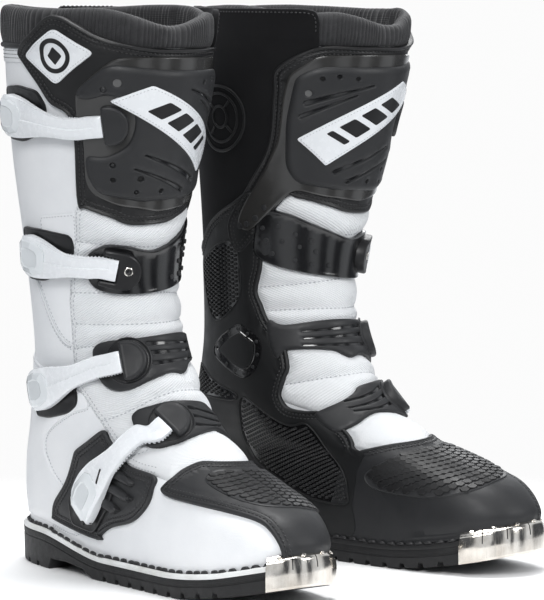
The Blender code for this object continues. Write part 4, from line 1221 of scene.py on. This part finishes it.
def toe_and_instep():
    def open_rim(phi, v):
        return 1.0 - smooth((-50 - phi) / 8)

    overlay = layer("toe_overlay", "overlay_leather", OVERLAY, "toe_overlay", 2.75, rim=BEAD, step=4.0,
                    per=6, calm=open_rim, hides=("toe_overlay",))[0]
    bead_seams(overlay, 2.65, keep=lambda phi, v: phi > -53 and v > 0.45)
    hexes = turned(walk(curve(HEX, per=6), 1.6))
    layer("hex_bed", "charcoal_rubber", hexes, "toe_overlay", 3.3, ready=True, step=4.0,
          rim=[(0.0, -0.7), (0.4, 0.0), (1.1, 0.25), (1.7, -0.1)])
    pads = Gather()
    outline = [(3.9, 0), (2.0, 2.15), (-2.0, 2.15), (-3.9, 0), (-2.0, -2.15), (2.0, -2.15)]
    block, faces = prism(outline, -0.4, 1.0, 0.4)
    stand(pads, staggered(inset(hexes, 2.2), 13.4, 2.75), 3.2, block, faces)
    pads.piece("hex_pads", "trim_leather", "toe_overlay", sharp=25)

    instep = layer("instep_plate", "charcoal_rubber", INSTEP, "instep_plate", 2.4, rim=BEAD, step=3.0,
                   per=6, hides=("instep_plate",))[0]
    bead_seams(instep, 2.35, keep=lambda phi, v: v > 0.5)
    for k, rib in enumerate(RIBS):
        plate("instep_rib_%d" % (k + 1), "charcoal_rubber", rib, "instep_plate", 5.6, radius=1.6, step=2.5,
              rim=[(0.0, -3.4), (0.8, -1.1), (2.1, -0.15), (3.0, 0.0)])


TAB_TOP = 3.8
TAB2 = [(52, 8.5), (40, 8.66), (25, 8.64), (0, 8.55), (-30, 8.76), (-52, 8.98), (-72, 9.1), (-76, 8.75),
        (-75, 8.42), (-60, 8.2), (-36, 8.02), (-10, 7.9), (15, 7.86), (38, 7.92), (50, 8.1)]
TAB3 = [(60, 6.79), (56, 6.98), (47, 7.06), (29, 7.08), (-20, 7.14), (-56, 7.1), (-68, 7.18), (-68, 6.4),
        (-57, 6.58), (-26, 6.55), (-12, 6.39), (5, 6.42), (26, 6.28), (44, 6.09), (55, 6.06), (61, 6.28)]
TAB4 = [(51, 5.35), (47, 5.58), (38, 5.72), (15, 5.86), (-15.5, 5.79), (-27, 5.6), (-53, 5.19), (-60, 4.95),
        (-58, 4.4), (-46, 4.66), (-25, 5.1), (-8, 5.2), (12, 5.1), (30, 4.88), (44, 4.68), (51, 4.74)]


def tabs():
    dots = Gather()
    shape, faces = dome(1.75, 1.25)
    stand(dots, [(-59.8, 8.83), (-67, 8.63), (-56.3, 8.58), (-70, 8.82), (-62.2, 8.41), (-47.6, 8.68),
                 (-43.8, 8.48), (-46.1, 8.27), (-35.9, 8.56), (-31.6, 8.38), (-33.6, 8.18), (-19.6, 8.13)],
          TAB_TOP, shape, faces)
    dots.piece("tab_2_dots", "charcoal_rubber", "tab_2", sharp=30)
    rim = [(0.0, -1.6), (0.2, -0.5), (0.7, 0.2), (1.6, 0.3), (2.4, 0.0)]
    layer("tab_2", "gloss_black", TAB2, "tab_2", TAB_TOP, rim=rim, step=3.2, per=6, hides=("tab_2",))
    for name, outline, slots in (
            ("tab_3", TAB3, [((17, 6.97), (-44, 6.94), 1.5, 0.7), ((15, 6.80), (-44, 6.80), 1.7, 0.7),
                             ((17, 6.60), (-46, 6.66), 1.6, 0.7)]),
            ("tab_4", TAB4, [((4, 5.70), (-36, 5.42), 1.4, 0.6), ((4, 5.53), (-36, 5.26), 1.5, 0.6),
                             ((6, 5.34), (-34, 5.18), 1.4, 0.6)])):
        marks = [(slot_shape(a, b, w, n), [(0.5, 0.0), (0.0, -0.3), (-0.3, -1.2)], "gloss_black")
                 for a, b, w, n in slots]
        layer(name, "charcoal_rubber", outline, name, TAB_TOP, rim=[(0.0, -1.6), (0.3, -0.6), (1.1, 0.0)],
              step=3.0, per=6, marks=marks, hides=(name,))


# ---------------------------------------------------------------- the buckles
DISC_R = 14.2
MOUTH_FRONT = 4.0
MOUTH_HALF = 9.2
PIN_ABOVE_PAD = 4.1
RIVET = (-3.6, -1.5)
BUCKLES = {
    1: dict(path=[(36.9, 10.43), (58, 10.40), (84, 10.54), (106, 10.66)],
            base=0.8, top=8.4, floor=2.6, pad=0.9),
    2: dict(path=[(26.0, 8.27), (44, 8.36), (72, 8.47), (100, 8.66)],
            base=3.8, top=9.8, floor=4.6, pad=0.9),
    3: dict(path=[(36.0, 6.66), (58, 6.55), (86, 6.22), (115, 5.80)],
            base=3.8, top=9.8, floor=4.6, pad=0.9),
    4: dict(path=[(25.5, 5.37), (53, 4.86), (78, 3.68), (96, 2.40), (103.5, 1.35)],
            base=3.8, top=9.8, floor=4.6, pad=2.9),
}
PADS = {
    1: [(115, 11.1), (98, 11.12), (82, 11.02), (75, 10.72), (78, 10.32), (95, 10.22), (115, 10.28)],
    2: [(111, 9.05), (84, 8.96), (62, 8.84), (60, 8.6), (66, 8.30), (90, 8.2), (111, 8.28)],
    3: [(84, 6.42), (80, 6.0), (83, 5.62), (92, 5.32), (110, 5.0), (124, 4.9), (125, 5.9), (104, 6.32)],
    4: [(92, 3.1), (88, 2.4), (94, 1.5), (101, 0.62), (112, 0.62), (113, 1.5), (107, 2.4)],
}


class Path:
    """The line of a buckle over the boot from its cover to its pin, measured in millimetres."""

    def __init__(self, places):
        self.fine = curve(places, closed=False, per=24)
        self.run = distances(on_boot(*self.fine.T, 6.0))
        self.length = float(self.run[-1])

    def at(self, s):
        phi = float(np.interp(s, self.run, self.fine[:, 0]))
        v = float(np.interp(s, self.run, self.fine[:, 1]))
        if s > self.length:
            extra = (s - self.length) / (self.run[-1] - self.run[-4])
            phi += (self.fine[-1, 0] - self.fine[-4, 0]) * extra
            v += (self.fine[-1, 1] - self.fine[-4, 1]) * extra
        return phi, v

    def frame(self, s):
        phi, v = self.at(s)
        p = surface(phi, v)
        n = normal(phi, v)
        u = surface(*self.at(s + 1.0)) - p
        u = unit(u - n * np.dot(u, n))
        return p, n, u, np.cross(n, u)

    def local(self, s):
        """Flat millimetres about the place at s (along, sideways) to angle and station, and to space."""
        phi, v = self.at(s)
        p, n, u, side = self.frame(s)
        d_phi = surface(phi + 0.5, v) - surface(phi - 0.5, v)
        d_v = (surface(phi, v + 0.05) - surface(phi, v - 0.05)) * 10
        m = np.array([[np.dot(d_phi, u), np.dot(d_v, u)], [np.dot(d_phi, side), np.dot(d_v, side)]])
        inv = np.linalg.inv(m)

        def place(a, b):
            d = inv @ np.array([a, b])
            return phi + d[0], v + d[1]

        def point(a, b, height):
            drop = float(np.dot(surface(*place(a, b)) - p, n))
            share = 1.0 - 0.035 * max(height - 3.0, 0.0)
            return p + u * a + side * b + n * (height + drop * share)

        return place, point

    def spot(self, s, across, height):
        """A point along the line; close to the start it follows the flat frame of the cover."""
        p, n, _, side = self.frame(s)
        far = p + n * height + side * across
        share = float(smooth((s - 12.0) / 12.0))
        if share >= 1.0:
            return far
        near = self.local(0.0)[1](s, across, height)
        return near * (1 - share) + far * share


def shrink(loop, mm):
    """A flat closed outline moved inward."""
    p = np.asarray(loop, float)
    area = (p[:, 0] * np.roll(p[:, 1], -1) - np.roll(p[:, 0], -1) * p[:, 1]).sum()
    ahead = unit(np.roll(p, -1, 0) - p)
    behind = unit(p - np.roll(p, 1, 0))
    turn = 1.0 if area > 0 else -1.0
    n1 = np.stack([-ahead[:, 1], ahead[:, 0]], -1) * turn
    n2 = np.stack([-behind[:, 1], behind[:, 0]], -1) * turn
    mitre = unit(n1 + n2)
    scale = np.clip((mitre * n1).sum(1), 0.5, 1.0)[:, None]
    return p + mitre / scale * mm


def cover(name, look, outline, point, levels, slot, hides=()):
    """A closed cap standing on the boot: levels lists (distance in from the outline, height)."""
    rows = [[point(a, b, h) for a, b in shrink(outline, d)] for d, h in levels]
    loft(name, look, rows, slot, hides=hides, sharp=28)


def disc_outline(radius):
    """A round cover cut off straight where the lever's tip meets it."""
    open_angle = math.acos(MOUTH_FRONT / radius)
    half = radius * math.sin(open_angle) - 0.9
    return (arc(radius, np.linspace(open_angle + 0.08, 2 * math.pi - open_angle - 0.08, 52))
            + [(MOUTH_FRONT, -half), (MOUTH_FRONT, half)])


def clip_outline():
    """The clip of the second buckle: round at the far end, two prongs beside the lever."""
    prong = [(9.0, 13.2), (14.8, 12.9), (15.6, 12.1), (15.6, 9.3), (MOUTH_FRONT + 0.6, MOUTH_HALF - 0.5),
             (MOUTH_FRONT, MOUTH_HALF - 1.1)]
    return (arc(13.2, np.linspace(math.pi / 2, 3 * math.pi / 2, 34)) + [(x, -y) for x, y in prong]
            + prong[::-1])


def smooth_one(x):
    return float(smooth(x))


def lever_line(number, t):
    """Roof and half width of the lever at the share t of its length."""
    spec = BUCKLES[number]
    sink = smooth_one((t - 0.28) / 0.4)
    roof = (spec["floor"] + 2.65) * (1 - sink) + (spec["pad"] + 4.4) * sink
    roof += 1.8 * smooth_one((t - 0.7) / 0.2)
    crown = roof + 3.0 - 0.4 * smooth_one((t - 0.9) / 0.1)
    drop = roof - 0.2 - (roof - spec["pad"] - 2.7) * smooth_one((t - 0.45) / 0.3)
    half = 7.8 + 7.2 * smooth_one((t - 0.35) / 0.5) - 1.5 * smooth_one((t - 0.88) / 0.12)
    return roof, crown, drop, half


def lever(number, path):
    """The long lever: thin and square at the tip, broad at the pin, hollow below, with a step along it."""
    start = MOUTH_FRONT + 0.5
    end = path.length + 1.9
    rows = []
    count = 64
    for k in range(count):
        share = k / (count - 1)
        t = share ** 0.9 if share < 1 else 1.0
        roof, crown, drop, half = lever_line(number, t)
        tip = min(1.0, t / 0.02)
        tail = smooth_one((1.0 - t) / 0.035)
        high = roof + (crown - roof) * (0.86 + 0.14 * tip) * (0.45 + 0.55 * tail)
        wide = half * (0.955 + 0.045 * tail)
        step = 0.95 * smooth_one((t - 0.02) / 0.1) * smooth_one((0.8 - t) / 0.08)
        bulge = 0.5 * smooth_one((t - 0.5) / 0.3)
        line = 0.8 * math.sin(2.2 * t)
        outline = [(-wide, drop), (-wide, high - 1.5), (-wide + 0.35, high - 0.7),
                   (-wide + 1.1, high - 0.25 - step), (-wide * 0.5, high - step + bulge * 0.6),
                   (line - 0.5, high - step + bulge),
                   (line, high + bulge), (wide * 0.5, high + bulge * 0.7), (wide - 1.1, high - 0.15),
                   (wide - 0.35, high - 0.6), (wide, high - 1.4), (wide, drop), (wide - 0.5, drop - 0.01),
                   (7.0, drop), (7.0, roof), (-7.0, roof), (-7.0, drop), (-wide + 0.5, drop - 0.01)]
        s = start + (end - start) * t
        rows.append([path.spot(s, w, h) for w, h in outline])
    slot = "lever_%d" % number
    part = "lever%d" % number
    loft(slot, "white_plastic", rows, slot, part=part, hides=(slot,), sharp=32)
    # the faceted grip insert over the pin end
    length = 30.0 if number == 4 else 25.0
    near = end - length
    half = [(near, 5.5), (near + 3.5, 10.2), (near + 0.45 * length, 12.4), (end - 3.0, 11.8),
            (end + 0.6, 8.0)]
    outline = half + [(end + 0.9, 0.0)] + [(s, -b) for s, b in half[::-1]]
    centre = np.array([near + 0.5 * length, 0.0])
    rows = []
    for scale, lift in ((1.0, -1.6), (1.0, 0.3), (0.92, 1.1), (0.62, 2.2), (0.54, 1.7)):
        row = []
        for s, b in outline:
            q = centre + (np.array([s, b]) - centre) * scale
            t = min(1.0, (q[0] - start) / (end - start))
            tilt = 0.35 * smooth_one((q[0] - near) / 6.0)
            row.append(path.spot(q[0], q[1], lever_line(number, t)[1] + lift * (0.65 + tilt)))
        rows.append(row)
    loft("lever_insert_%d" % number, "gem_plastic", rows, slot, part=part, sharp=12)
    # the pin through the strap's end and the lever's cheeks
    p, n, u, side = path.frame(path.length)
    centre = p + n * (BUCKLES[number]["pad"] + PIN_ABOVE_PAD)
    rows = [[centre + side * w + u * a + n * b for a, b in arc(radius, turn_of(12))]
            for w, radius in ((-13.4, 0.9), (-13.4, 1.3), (13.4, 1.3), (13.4, 0.9))]
    loft("lever_pin_%d" % number, "steel", rows, slot, part=part, sharp=30)
    if number == 4:
        mark = [(end - 43, -1.0), (end - 43, 0.0), (end - 33, 5.4), (end - 32.4, 4.6), (end - 33.2, 3.6)]
        rows = []
        for h in (-0.5, 0.32):
            rows.append([path.spot(s, b, lever_line(number, (s - start) / (end - start))[1] + h + 0.35)
                         for s, b in mark])
        loft("lever_mark_4", "hole_dark", rows, slot, part=part, sharp=30)


def strap(number, path):
    """The toothed strap from the mouth of the cover to the pin."""
    spec = BUCKLES[number]
    start = MOUTH_FRONT + 0.4
    reach = path.length
    rows = []
    middles = []
    for k in range(60):
        s = start + (reach - 4.5 - start) * k / 59
        t = (s - start) / (reach - start)
        sink = smooth_one((t - 0.28) / 0.4)
        mid = (spec["floor"] + 1.35) * (1 - sink) + (spec["pad"] + 2.6) * sink
        mid += 1.5 * smooth_one((t - 0.8) / 0.2)
        middles.append((s, mid))
        section = ((-6.9, -0.5), (-6.9, 0.5), (-6.4, 0.8), (6.4, 0.8),
                   (6.9, 0.5), (6.9, -0.5), (6.4, -0.8), (-6.4, -0.8))
        rows.append([path.spot(s, w, mid + h) for w, h in section])
    p, n, u, side = path.frame(reach)
    centre = p + n * (spec["pad"] + PIN_ABOVE_PAD)
    for s, half in ((-1.7, 0.8), (-1.2, 1.25), (-0.4, 1.55), (0.4, 1.55), (1.1, 1.2), (1.5, 0.7)):
        rows.append([centre + u * s + side * w + n * h for w, h in
                     ((-6.9, -half * 0.7), (-6.9, half * 0.7), (-6.4, half), (6.4, half), (6.9, half * 0.7),
                      (6.9, -half * 0.7), (6.4, -half), (-6.4, -half))])
    slot = "strap_%d" % number
    part = "strap%d" % number
    loft(slot, "white_plastic", rows, slot, part=part, hides=(slot,), sharp=30)
    teeth = Gather()
    s = start + 2.0
    runs, mids = np.array(middles).T
    while s < reach - 10.0:
        mid = float(np.interp(s, runs, mids))
        for sign in (-1, 1):
            block = []
            for root_h, tip_h in ((-0.7, -0.6), (0.7, 0.5)):
                for along, out, h in ((-0.75, 6.7, root_h), (0.75, 6.7, root_h), (0.45, 8.0, tip_h),
                                      (-0.45, 8.0, tip_h)):
                    block.append(path.spot(s + along, sign * out, mid + h))
            block = np.array(block)
            teeth.put(block, outward(block, strip_faces(2, 4)))
        s += 2.3
    teeth.piece("strap_teeth_%d" % number, "white_plastic", slot, part=part, sharp=30)


def buckle(number):
    spec = BUCKLES[number]
    path = Path(spec["path"])
    point = path.local(0.0)[1]
    top, base, floor = spec["top"], spec["base"], spec["floor"]
    slot = "disc_%d" % number
    if number == 2:
        cover("clip", "black_plastic", clip_outline(), point,
              [(0.0, base), (0.0, top - 1.4), (0.35, top - 0.5), (1.1, top)], slot, hides=(slot,))
        bed = [(15.5, -11.5), (15.5, 11.5)] + arc(12.6, np.linspace(math.pi / 2, 3 * math.pi / 2, 24))
        cover("clip_bed", "black_plastic", bed, point, [(0.0, base), (0.0, floor), (0.3, floor + 0.1)], slot)
        cover("clip_rivet", "steel", arc(3.2, turn_of(24), *RIVET), point,
              [(0.0, top - 1), (0.0, top + 0.25), (0.35, top + 0.45), (0.8, top + 0.35), (1.0, top - 0.1)],
              slot)
        cover("clip_rivet_heart", "gloss_black", arc(2.2, turn_of(20), *RIVET), point,
              [(0.0, top - 1), (0.0, top + 0.05), (0.7, top + 0.3)], slot)
    else:
        cover("cover_%d" % number, "charcoal_rubber", disc_outline(DISC_R), point,
              [(0.0, floor - 0.1), (0.0, top - 1.5), (0.3, top - 0.7), (0.9, top - 0.2), (1.7, top),
               (2.6, top - 0.25), (3.2, top - 0.35)], slot, hides=(slot,))
        bed_look = "gloss_black" if number == 1 else "black_plastic"
        lip_look = "gloss_black" if number == 1 else "charcoal_rubber"
        cover("cover_bed_%d" % number, bed_look, arc(15.0, turn_of(60)), point,
              [(0.0, base - 0.4), (0.0, floor - 0.3), (0.4, floor), (14.0, floor)], slot)
        cover("cover_lip_%d" % number, lip_look, arc(17.0, turn_of(60)), point,
              [(0.0, base - 0.6), (0.1, base + 0.3), (0.7, base + 0.7), (1.3, base + 0.2), (2.2, base - 0.3)],
              slot)
    strap(number, path)
    lever(number, path)
    # the catch pad on the boot with ribs along it and the low hook behind the pin
    slot = "catch_%d" % number
    pad = plate(slot, "black_plastic", PADS[number], slot, spec["pad"] + 1.3, radius=5.0, step=4.0,
                rim=[(0.0, -0.8), (0.3, -0.1), (1.2, 0.15), (2.0, -0.25)], hides=(slot,))[0]
    ribs = Gather()
    for across in (-9.0, -5.4, -1.8, 1.8, 5.4, 9.0):
        line = aside(np.array([path.at(s) for s in np.linspace(path.length - 34, path.length - 10, 10)]),
                     across)
        line = line[inside(line, inset(pad, 3.0))]
        if len(line) > 3:
            ribs.put(*tube(line, spec["pad"] + 1.15, 0.8, sides=6))
    ribs.piece("catch_ribs_%d" % number, "black_plastic", slot, sharp=60)
    hook = [(7.2, -5.6), (9.8, -5.6), (9.8, 5.6), (7.2, 5.6)]
    cover("catch_hook_%d" % number, "black_plastic", hook, path.local(path.length)[1],
          [(0.0, spec["pad"]), (0.0, spec["pad"] + 3.2), (0.4, spec["pad"] + 3.6)], slot)


# ---------------------------------------------------------------- the sole
UP = np.array([0.0, 0.0, 1.0])
WELT_OUT = 5.0
LUG = 3.0
LUG_STEP = 16
BACK, FRONT = STATIONS[0][2], STATIONS[0][0]


def plan_ring(phi, grow):
    """Sole outline in plan, grown outward."""
    phi = np.asarray(phi, float)
    p = surface(phi, np.zeros_like(phi))
    d = surface(phi + 0.5, np.zeros_like(phi)) - surface(phi - 0.5, np.zeros_like(phi))
    n = unit(np.stack([-d[:, 1], d[:, 0]], -1))
    flip = np.sign(((p[:, :2] - np.array([0.0, 60.0])) * n).sum(1))
    return p[:, :2] + n * flip[:, None] * grow


def around_sole(levels, count=360):
    """Rows round the sole; levels lists (growth outward, height over the sole edge)."""
    phis = np.arange(count) * 360.0 / count
    rows = []
    for grow, rise in levels:
        plan = plan_ring(phis, grow)
        rows.append(np.column_stack([plan, sole_edge(plan[:, 1]) + rise]))
    return phis, rows


def tread_height(f):
    """Height of the tread over the sole's rising bottom line."""
    arch = [(-24, 0.0), (-20, 7.5), (0, 8.0), (22, 5.5), (34, 0.0)]
    table = [(BACK, 1.0), (-85, 0.0)]
    for start in [*range(-74, -41, LUG_STEP), *range(48, 177, LUG_STEP)]:
        if start == 48:
            table += arch
        table += [(start, 0.0), (start + 0.8, LUG), (start + 4.0, LUG), (start + 4.8, 0.0)]
    table += [(194, 0.0), (206, 0.0), (215, 1.0), (FRONT, 3.0)]
    f0, z0 = np.array(table, float).T
    return np.interp(f, f0, z0), f0


def welt():
    """White round the outer side, black along the inner side."""
    levels = [(-4.0, 0.1), (0.3, 0.1), (0.8, -0.6), (2.3, -0.6), (2.8, 0.0), (4.2, 0.0), (4.9, -0.4),
              (5.15, -1.2), (5.1, -3.2), (4.8, -3.7), (5.1, -4.2), (5.0, -6.2), (-4.0, -6.2)]
    phis, rows = around_sole(levels)
    wob = 0.25 * np.sin(np.radians(phis) * 31) + 0.2 * np.sin(np.radians(phis) * 57 + 1)
    for r in (5, 6, 7):
        rows[r][:, 2] += 0.5 * wob
    white = (np.arange(len(rows)) < 9)[:, None] & ((phis > 16) & (phis < 192))[None]
    points = np.vstack(rows)
    faces = outward(points, strip_faces(len(rows), len(phis), closed=True))
    add("welt", ["welt_white", "sole_rubber"], points, faces, "midsole", which=~white.ravel(),
        hides=("midsole",), sharp=35)


def welt_cord():
    """Black cord in the groove where the upper meets the welt, with thick stitches over it."""
    cords = Gather()
    ways = np.arange(300) * 1.2
    covered = smooth((16 - ways) / 6) + smooth((ways - 190) / 6)
    covered += smooth((ways - 95) / 4) * smooth((127 - ways) / 4)
    rope = plan_ring(ways, (1.4 + 2.3 * covered)[:, None])
    rope = np.column_stack([rope, sole_edge(rope[:, 1]) + 0.1])
    t = heading(rope, closed=True)
    side = unit(np.cross(t, UP))
    up = np.cross(side, t)
    points = np.vstack([rope + side * math.cos(a) * 0.6 + up * (math.sin(a) * 0.45 - 0.4)
                        for a in turn_of(7)])
    cords.put(points, outward(points, strip_faces(7, len(rope), closed=True)))
    shape, faces = capsule(7.8, 1.3)
    run = distances(rope)
    for s in np.arange(2.0, run[-1], 8.8):
        i = int(np.argmin(np.abs(run - s)))
        lean = 0.10 * math.sin(i * 1.7)
        t2 = unit(t[i] + side[i] * lean)
        pos = rope[i] + up[i] * 0.9 + side[i] * 0.2
        pts = pos + t2 * shape[:, :1] + np.cross(up[i], t2) * shape[:, 1:2] + up[i] * shape[:, 2:3]
        cords.put(pts, outward(pts, faces))
    cords.piece("welt_cord", "cord_black", "midsole", sharp=60)


def outsole():
    """The outsole with its lugs, arch gap and a line along its side."""
    extra = tread_height(0.0)[1]
    ends = [BACK + (FRONT - BACK) * (1 - math.cos(a)) / 2 for a in np.linspace(0, math.pi, 70)]
    cuts = np.unique(np.round(np.concatenate([extra, ends]), 3))
    phi = np.degrees(np.arccos(np.clip(2 * (cuts - BACK) / (FRONT - BACK) - 1, -1, 1)))
    phi[0], phi[-1] = 179.4, 0.6
    low = tread_height(cuts)[0]
    rows = []
    profile = [(WELT_OUT, None, -6.3), (WELT_OUT, None, -7.8), (WELT_OUT - 0.5, None, -8.2),
               (WELT_OUT - 0.5, None, -8.9), (WELT_OUT, None, -9.3), (WELT_OUT - 0.5, 1.2, None),
               (WELT_OUT - 1.6, 0.0, None)]
    for sign in (1, -1):
        part = []
        for grow, over, under in profile:
            plan = plan_ring(phi * sign, grow)
            bottom = low + sole_bottom(plan[:, 1])
            top = sole_edge(plan[:, 1]) - 9.3
            if over is None:
                z = np.maximum(sole_edge(plan[:, 1]) + under, bottom + 0.2)
            else:
                z = np.minimum(bottom + over, np.maximum(top, bottom))
            part.append(np.column_stack([plan, z]))
        rows.append(part)
    loft("outsole", "sole_rubber", np.stack(rows[0] + rows[1][::-1], 1), "outsole", hides=("outsole",),
         sharp=28)


def footbed():
    levels = [(-7.0, 0.4), (-6.6, 1.2), (-6.6, 3.6), (-7.4, 4.1), (-14.0, 3.5), (-30.0, 3.2)]
    phis, rows = around_sole(levels, 180)
    for r in range(4, len(rows)):
        plan = rows[r]
        centre = np.column_stack([np.zeros(180), np.clip(plan[:, 1], -50, 180)])
        share = 0.35 if r == 4 else 0.95
        base = plan_ring(phis, -7.4)
        plan[:, :2] = base + (centre - base) * share
        plan[:, 2] = sole_edge(plan[:, 1]) + levels[r][1]
    loft("footbed", "lining", rows, "insole", hides=("insole",), sharp=50)


def toe_guard():
    """The bent steel cap over the sole's front edge, slit into tabs on top and screwed down; the slits in its
    wall and the screw slots are near-black painted shade.
    """
    def sweep(phis, section):
        rows = []
        for grow, over, rise in section:
            plan = plan_ring(phis, grow)
            if over is not None:
                z = sole_bottom(plan[:, 1]) + over
            else:
                z = sole_edge(plan[:, 1]) + rise
            rows.append(np.column_stack([plan, z]))
        return np.stack(rows, 1)

    wall = [(5.7, 1.2, None), (6.8, 0.25, None), (8.2, 0.3, None), (8.6, 0.9, None), (8.5, 2.2, None),
            (8.65, None, -8.5), (8.45, None, -5.5), (8.1, None, -2.5), (7.5, None, 0.2), (6.4, None, 0.2),
            (6.6, None, -6.0), (6.2, 2.4, None)]
    loft("toe_guard", "steel", sweep(np.linspace(-36, 21, 70), wall), "toe_guard", hides=("toe_guard",),
         sharp=45)
    flange = [(7.5, None, 0.1), (7.3, None, 1.2), (6.8, None, 2.2), (6.0, None, 3.1), (2.6, None, 6.0),
              (2.0, None, 5.4), (5.2, None, 2.5), (5.9, None, 1.6), (6.3, None, 0.1)]
    cuts = [-36.0, -26.5, -15.5, -3.0, 9.5, 21.0]
    screws = Gather()
    for k in range(5):
        tab = sweep(np.linspace(cuts[k] + 0.28, cuts[k + 1] - 0.28, 18), flange)
        loft("toe_guard_tab_%d" % (k + 1), "steel", tab, "toe_guard", sharp=45)
        phi = np.array([0.5 * (cuts[k] + cuts[k + 1])])
        plan = plan_ring(phi, 4.3)[0]
        out = unit(np.append(plan_ring(phi, 5.3)[0] - plan, 0.0))
        seat = np.array([plan[0], plan[1], sole_edge(plan[1]) + 4.5])
        lean = unit(out * 0.85 + UP)
        across = unit(np.cross(UP, out))
        tilt = np.array([across, np.cross(lean, across), lean])
        shape, faces = dome(1.9, 1.2, sides=16)
        screws.put(shape @ tilt + seat, outward(shape @ tilt, faces))
        # a near-black block sunk into each screw head stands for its slot: painted shade
        slot_block, faces = prism([(-1.7, -0.3), (1.7, -0.3), (1.7, 0.3), (-1.7, 0.3)], 0.3, 1.18, 0.1)
        turn = math.radians(35 + 50 * k)
        spin = np.array([[math.cos(turn), math.sin(turn), 0.0], [-math.sin(turn), math.cos(turn), 0.0], UP])
        turned_block = slot_block @ spin @ tilt
        add("toe_screw_slot_%d" % (k + 1), "hole_dark", turned_block + seat, outward(turned_block, faces),
            "toe_guard", sharp=30)
    screws.piece("toe_screws", "steel", "toe_guard", sharp=40)
    # near-black strips on the unbroken steel wall where the tabs part: painted shade standing for the slits
    for k, phi in enumerate(cuts[1:-1]):
        slit = [(7.6, None, 0.4), (8.25, None, -2.5), (8.55, None, -5.2), (7.4, None, -5.2), (6.6, None, 0.4)]
        loft("toe_guard_slit_%d" % (k + 1), "hole_dark", sweep(np.array([phi - 0.22, phi + 0.22]), slit),
             "toe_guard", sharp=30)


upper_skin()
collar()
flex_zone()
white_layers()
medial_side()
shin()
toe_and_instep()
tabs()
for each in BUCKLES:
    buckle(each)
welt()
welt_cord()
outsole()
footbed()
toe_guard()


# ---------------------------------------------------------------- stitches, floor, light and camera
for (kind, slot), gather in THREADS.items():
    gather.piece("stitches_%s_%s" % (kind.split("_")[1], slot), kind, slot, sharp=180)


def studio():
    mesh = bpy.data.meshes.new("floor")
    mesh.from_pydata([(-6, -6, 0), (6, -6, 0), (6, 6, 0), (-6, 6, 0)], [], [(0, 1, 2, 3)])
    floor = bpy.data.objects.new("floor", mesh)
    bpy.context.scene.collection.objects.link(floor)
    s = Shader("floor")
    s.fixed(Base_Color=(0.94, 0.94, 0.94, 1), Roughness=0.9)
    # the floor fades into the plain background a little way out from the boots
    reach = s.node("VectorMath", {"operation": "LENGTH"}, Vector=s.where()).outputs["Value"]
    fade = s.node("MapRange", {"interpolation_type": "SMOOTHSTEP"}, Value=reach, From_Min=0.20, From_Max=0.55)
    clear = s.node("BsdfTransparent")
    s.join(fade.outputs["Result"], s.bsdf.outputs[0], clear.outputs[0], "Material Output")
    mesh.materials.append(MATERIALS["floor"])
    world = bpy.data.worlds.new("studio")
    sky = Nodes(world)
    # soft bands of light and dark round the studio, which the polished surfaces mirror
    bands = sky.node("TexWave", {"bands_direction": "X"}, Vector=sky.node("TexCoord").outputs["Generated"],
                     Scale=0.62, Distortion=2.5, Detail=0.0, Detail_Scale=1.2)
    tint = sky.node("ValToRGB", Fac=bands.outputs["Fac"])
    for stop, position, colour in zip(tint.color_ramp.elements, (0.25, 0.75),
                                      ((0.16, 0.17, 0.19, 1), (1.55, 1.6, 1.66, 1))):
        stop.position = position
        stop.color = colour
    soft = sky.tree.nodes["Background"]
    soft.inputs["Strength"].default_value = 0.52
    sky.wire(soft, "Color", tint.outputs["Color"])
    plain = sky.node("Background", Color=(0.97, 0.97, 0.97, 1))
    rays = sky.node("LightPath").outputs["Is Camera Ray"]
    sky.join(rays, soft.outputs["Background"], plain.outputs["Background"], "World Output")
    bpy.context.scene.world = world
    for name, place, size, power in (("key", (-1.9, -1.3, 1.7), 0.9, 37),
                                     ("front", (0.7, -2.1, 1.2), 0.9, 18),
                                     ("top", (0.1, 0.1, 2.0), 0.9, 37),
                                     ("rim", (1.4, 1.3, 1.2), 1.0, 12)):
        light = bpy.data.lights.new(name, "AREA")
        light.size = size
        light.energy = power
        ob = bpy.data.objects.new(name, light)
        ob.location = place
        ob.rotation_euler = (Vector((0, 0, 0.18)) - Vector(place)).to_track_quat("-Z", "Y").to_euler()
        bpy.context.scene.collection.objects.link(ob)
    bpy.context.scene.view_settings.view_transform = "Standard"


CAMERA_AZIMUTH = -40.7
CAMERA_REACH = 2.5
CAMERA_HEIGHT = 0.40
CAMERA_LENS = 209.6


def camera():
    azimuth = math.radians(CAMERA_AZIMUTH)
    back = Vector((math.sin(azimuth), -math.cos(azimuth), 0.0))
    aim = Vector(to_world(np.zeros(3), "right"))
    data = bpy.data.cameras.new("camera")
    data.sensor_fit = "AUTO"
    data.sensor_width = 36.0
    data.lens = CAMERA_LENS
    data.clip_end = 20.0
    ob = bpy.data.objects.new("camera", data)
    ob.location = (aim.x + back.x * CAMERA_REACH, aim.y + back.y * CAMERA_REACH, CAMERA_HEIGHT)
    right = Vector((-back.y, back.x, 0.0))
    # a little to the right and down, which puts the pair in the middle of the picture
    sight = -back + 0.0459 * right - Vector((0.0, 0.0, 0.0826))
    ob.rotation_euler = sight.to_track_quat("-Z", "Y").to_euler()
    bpy.context.scene.collection.objects.link(ob)
    bpy.context.scene.camera = ob


studio()
camera()
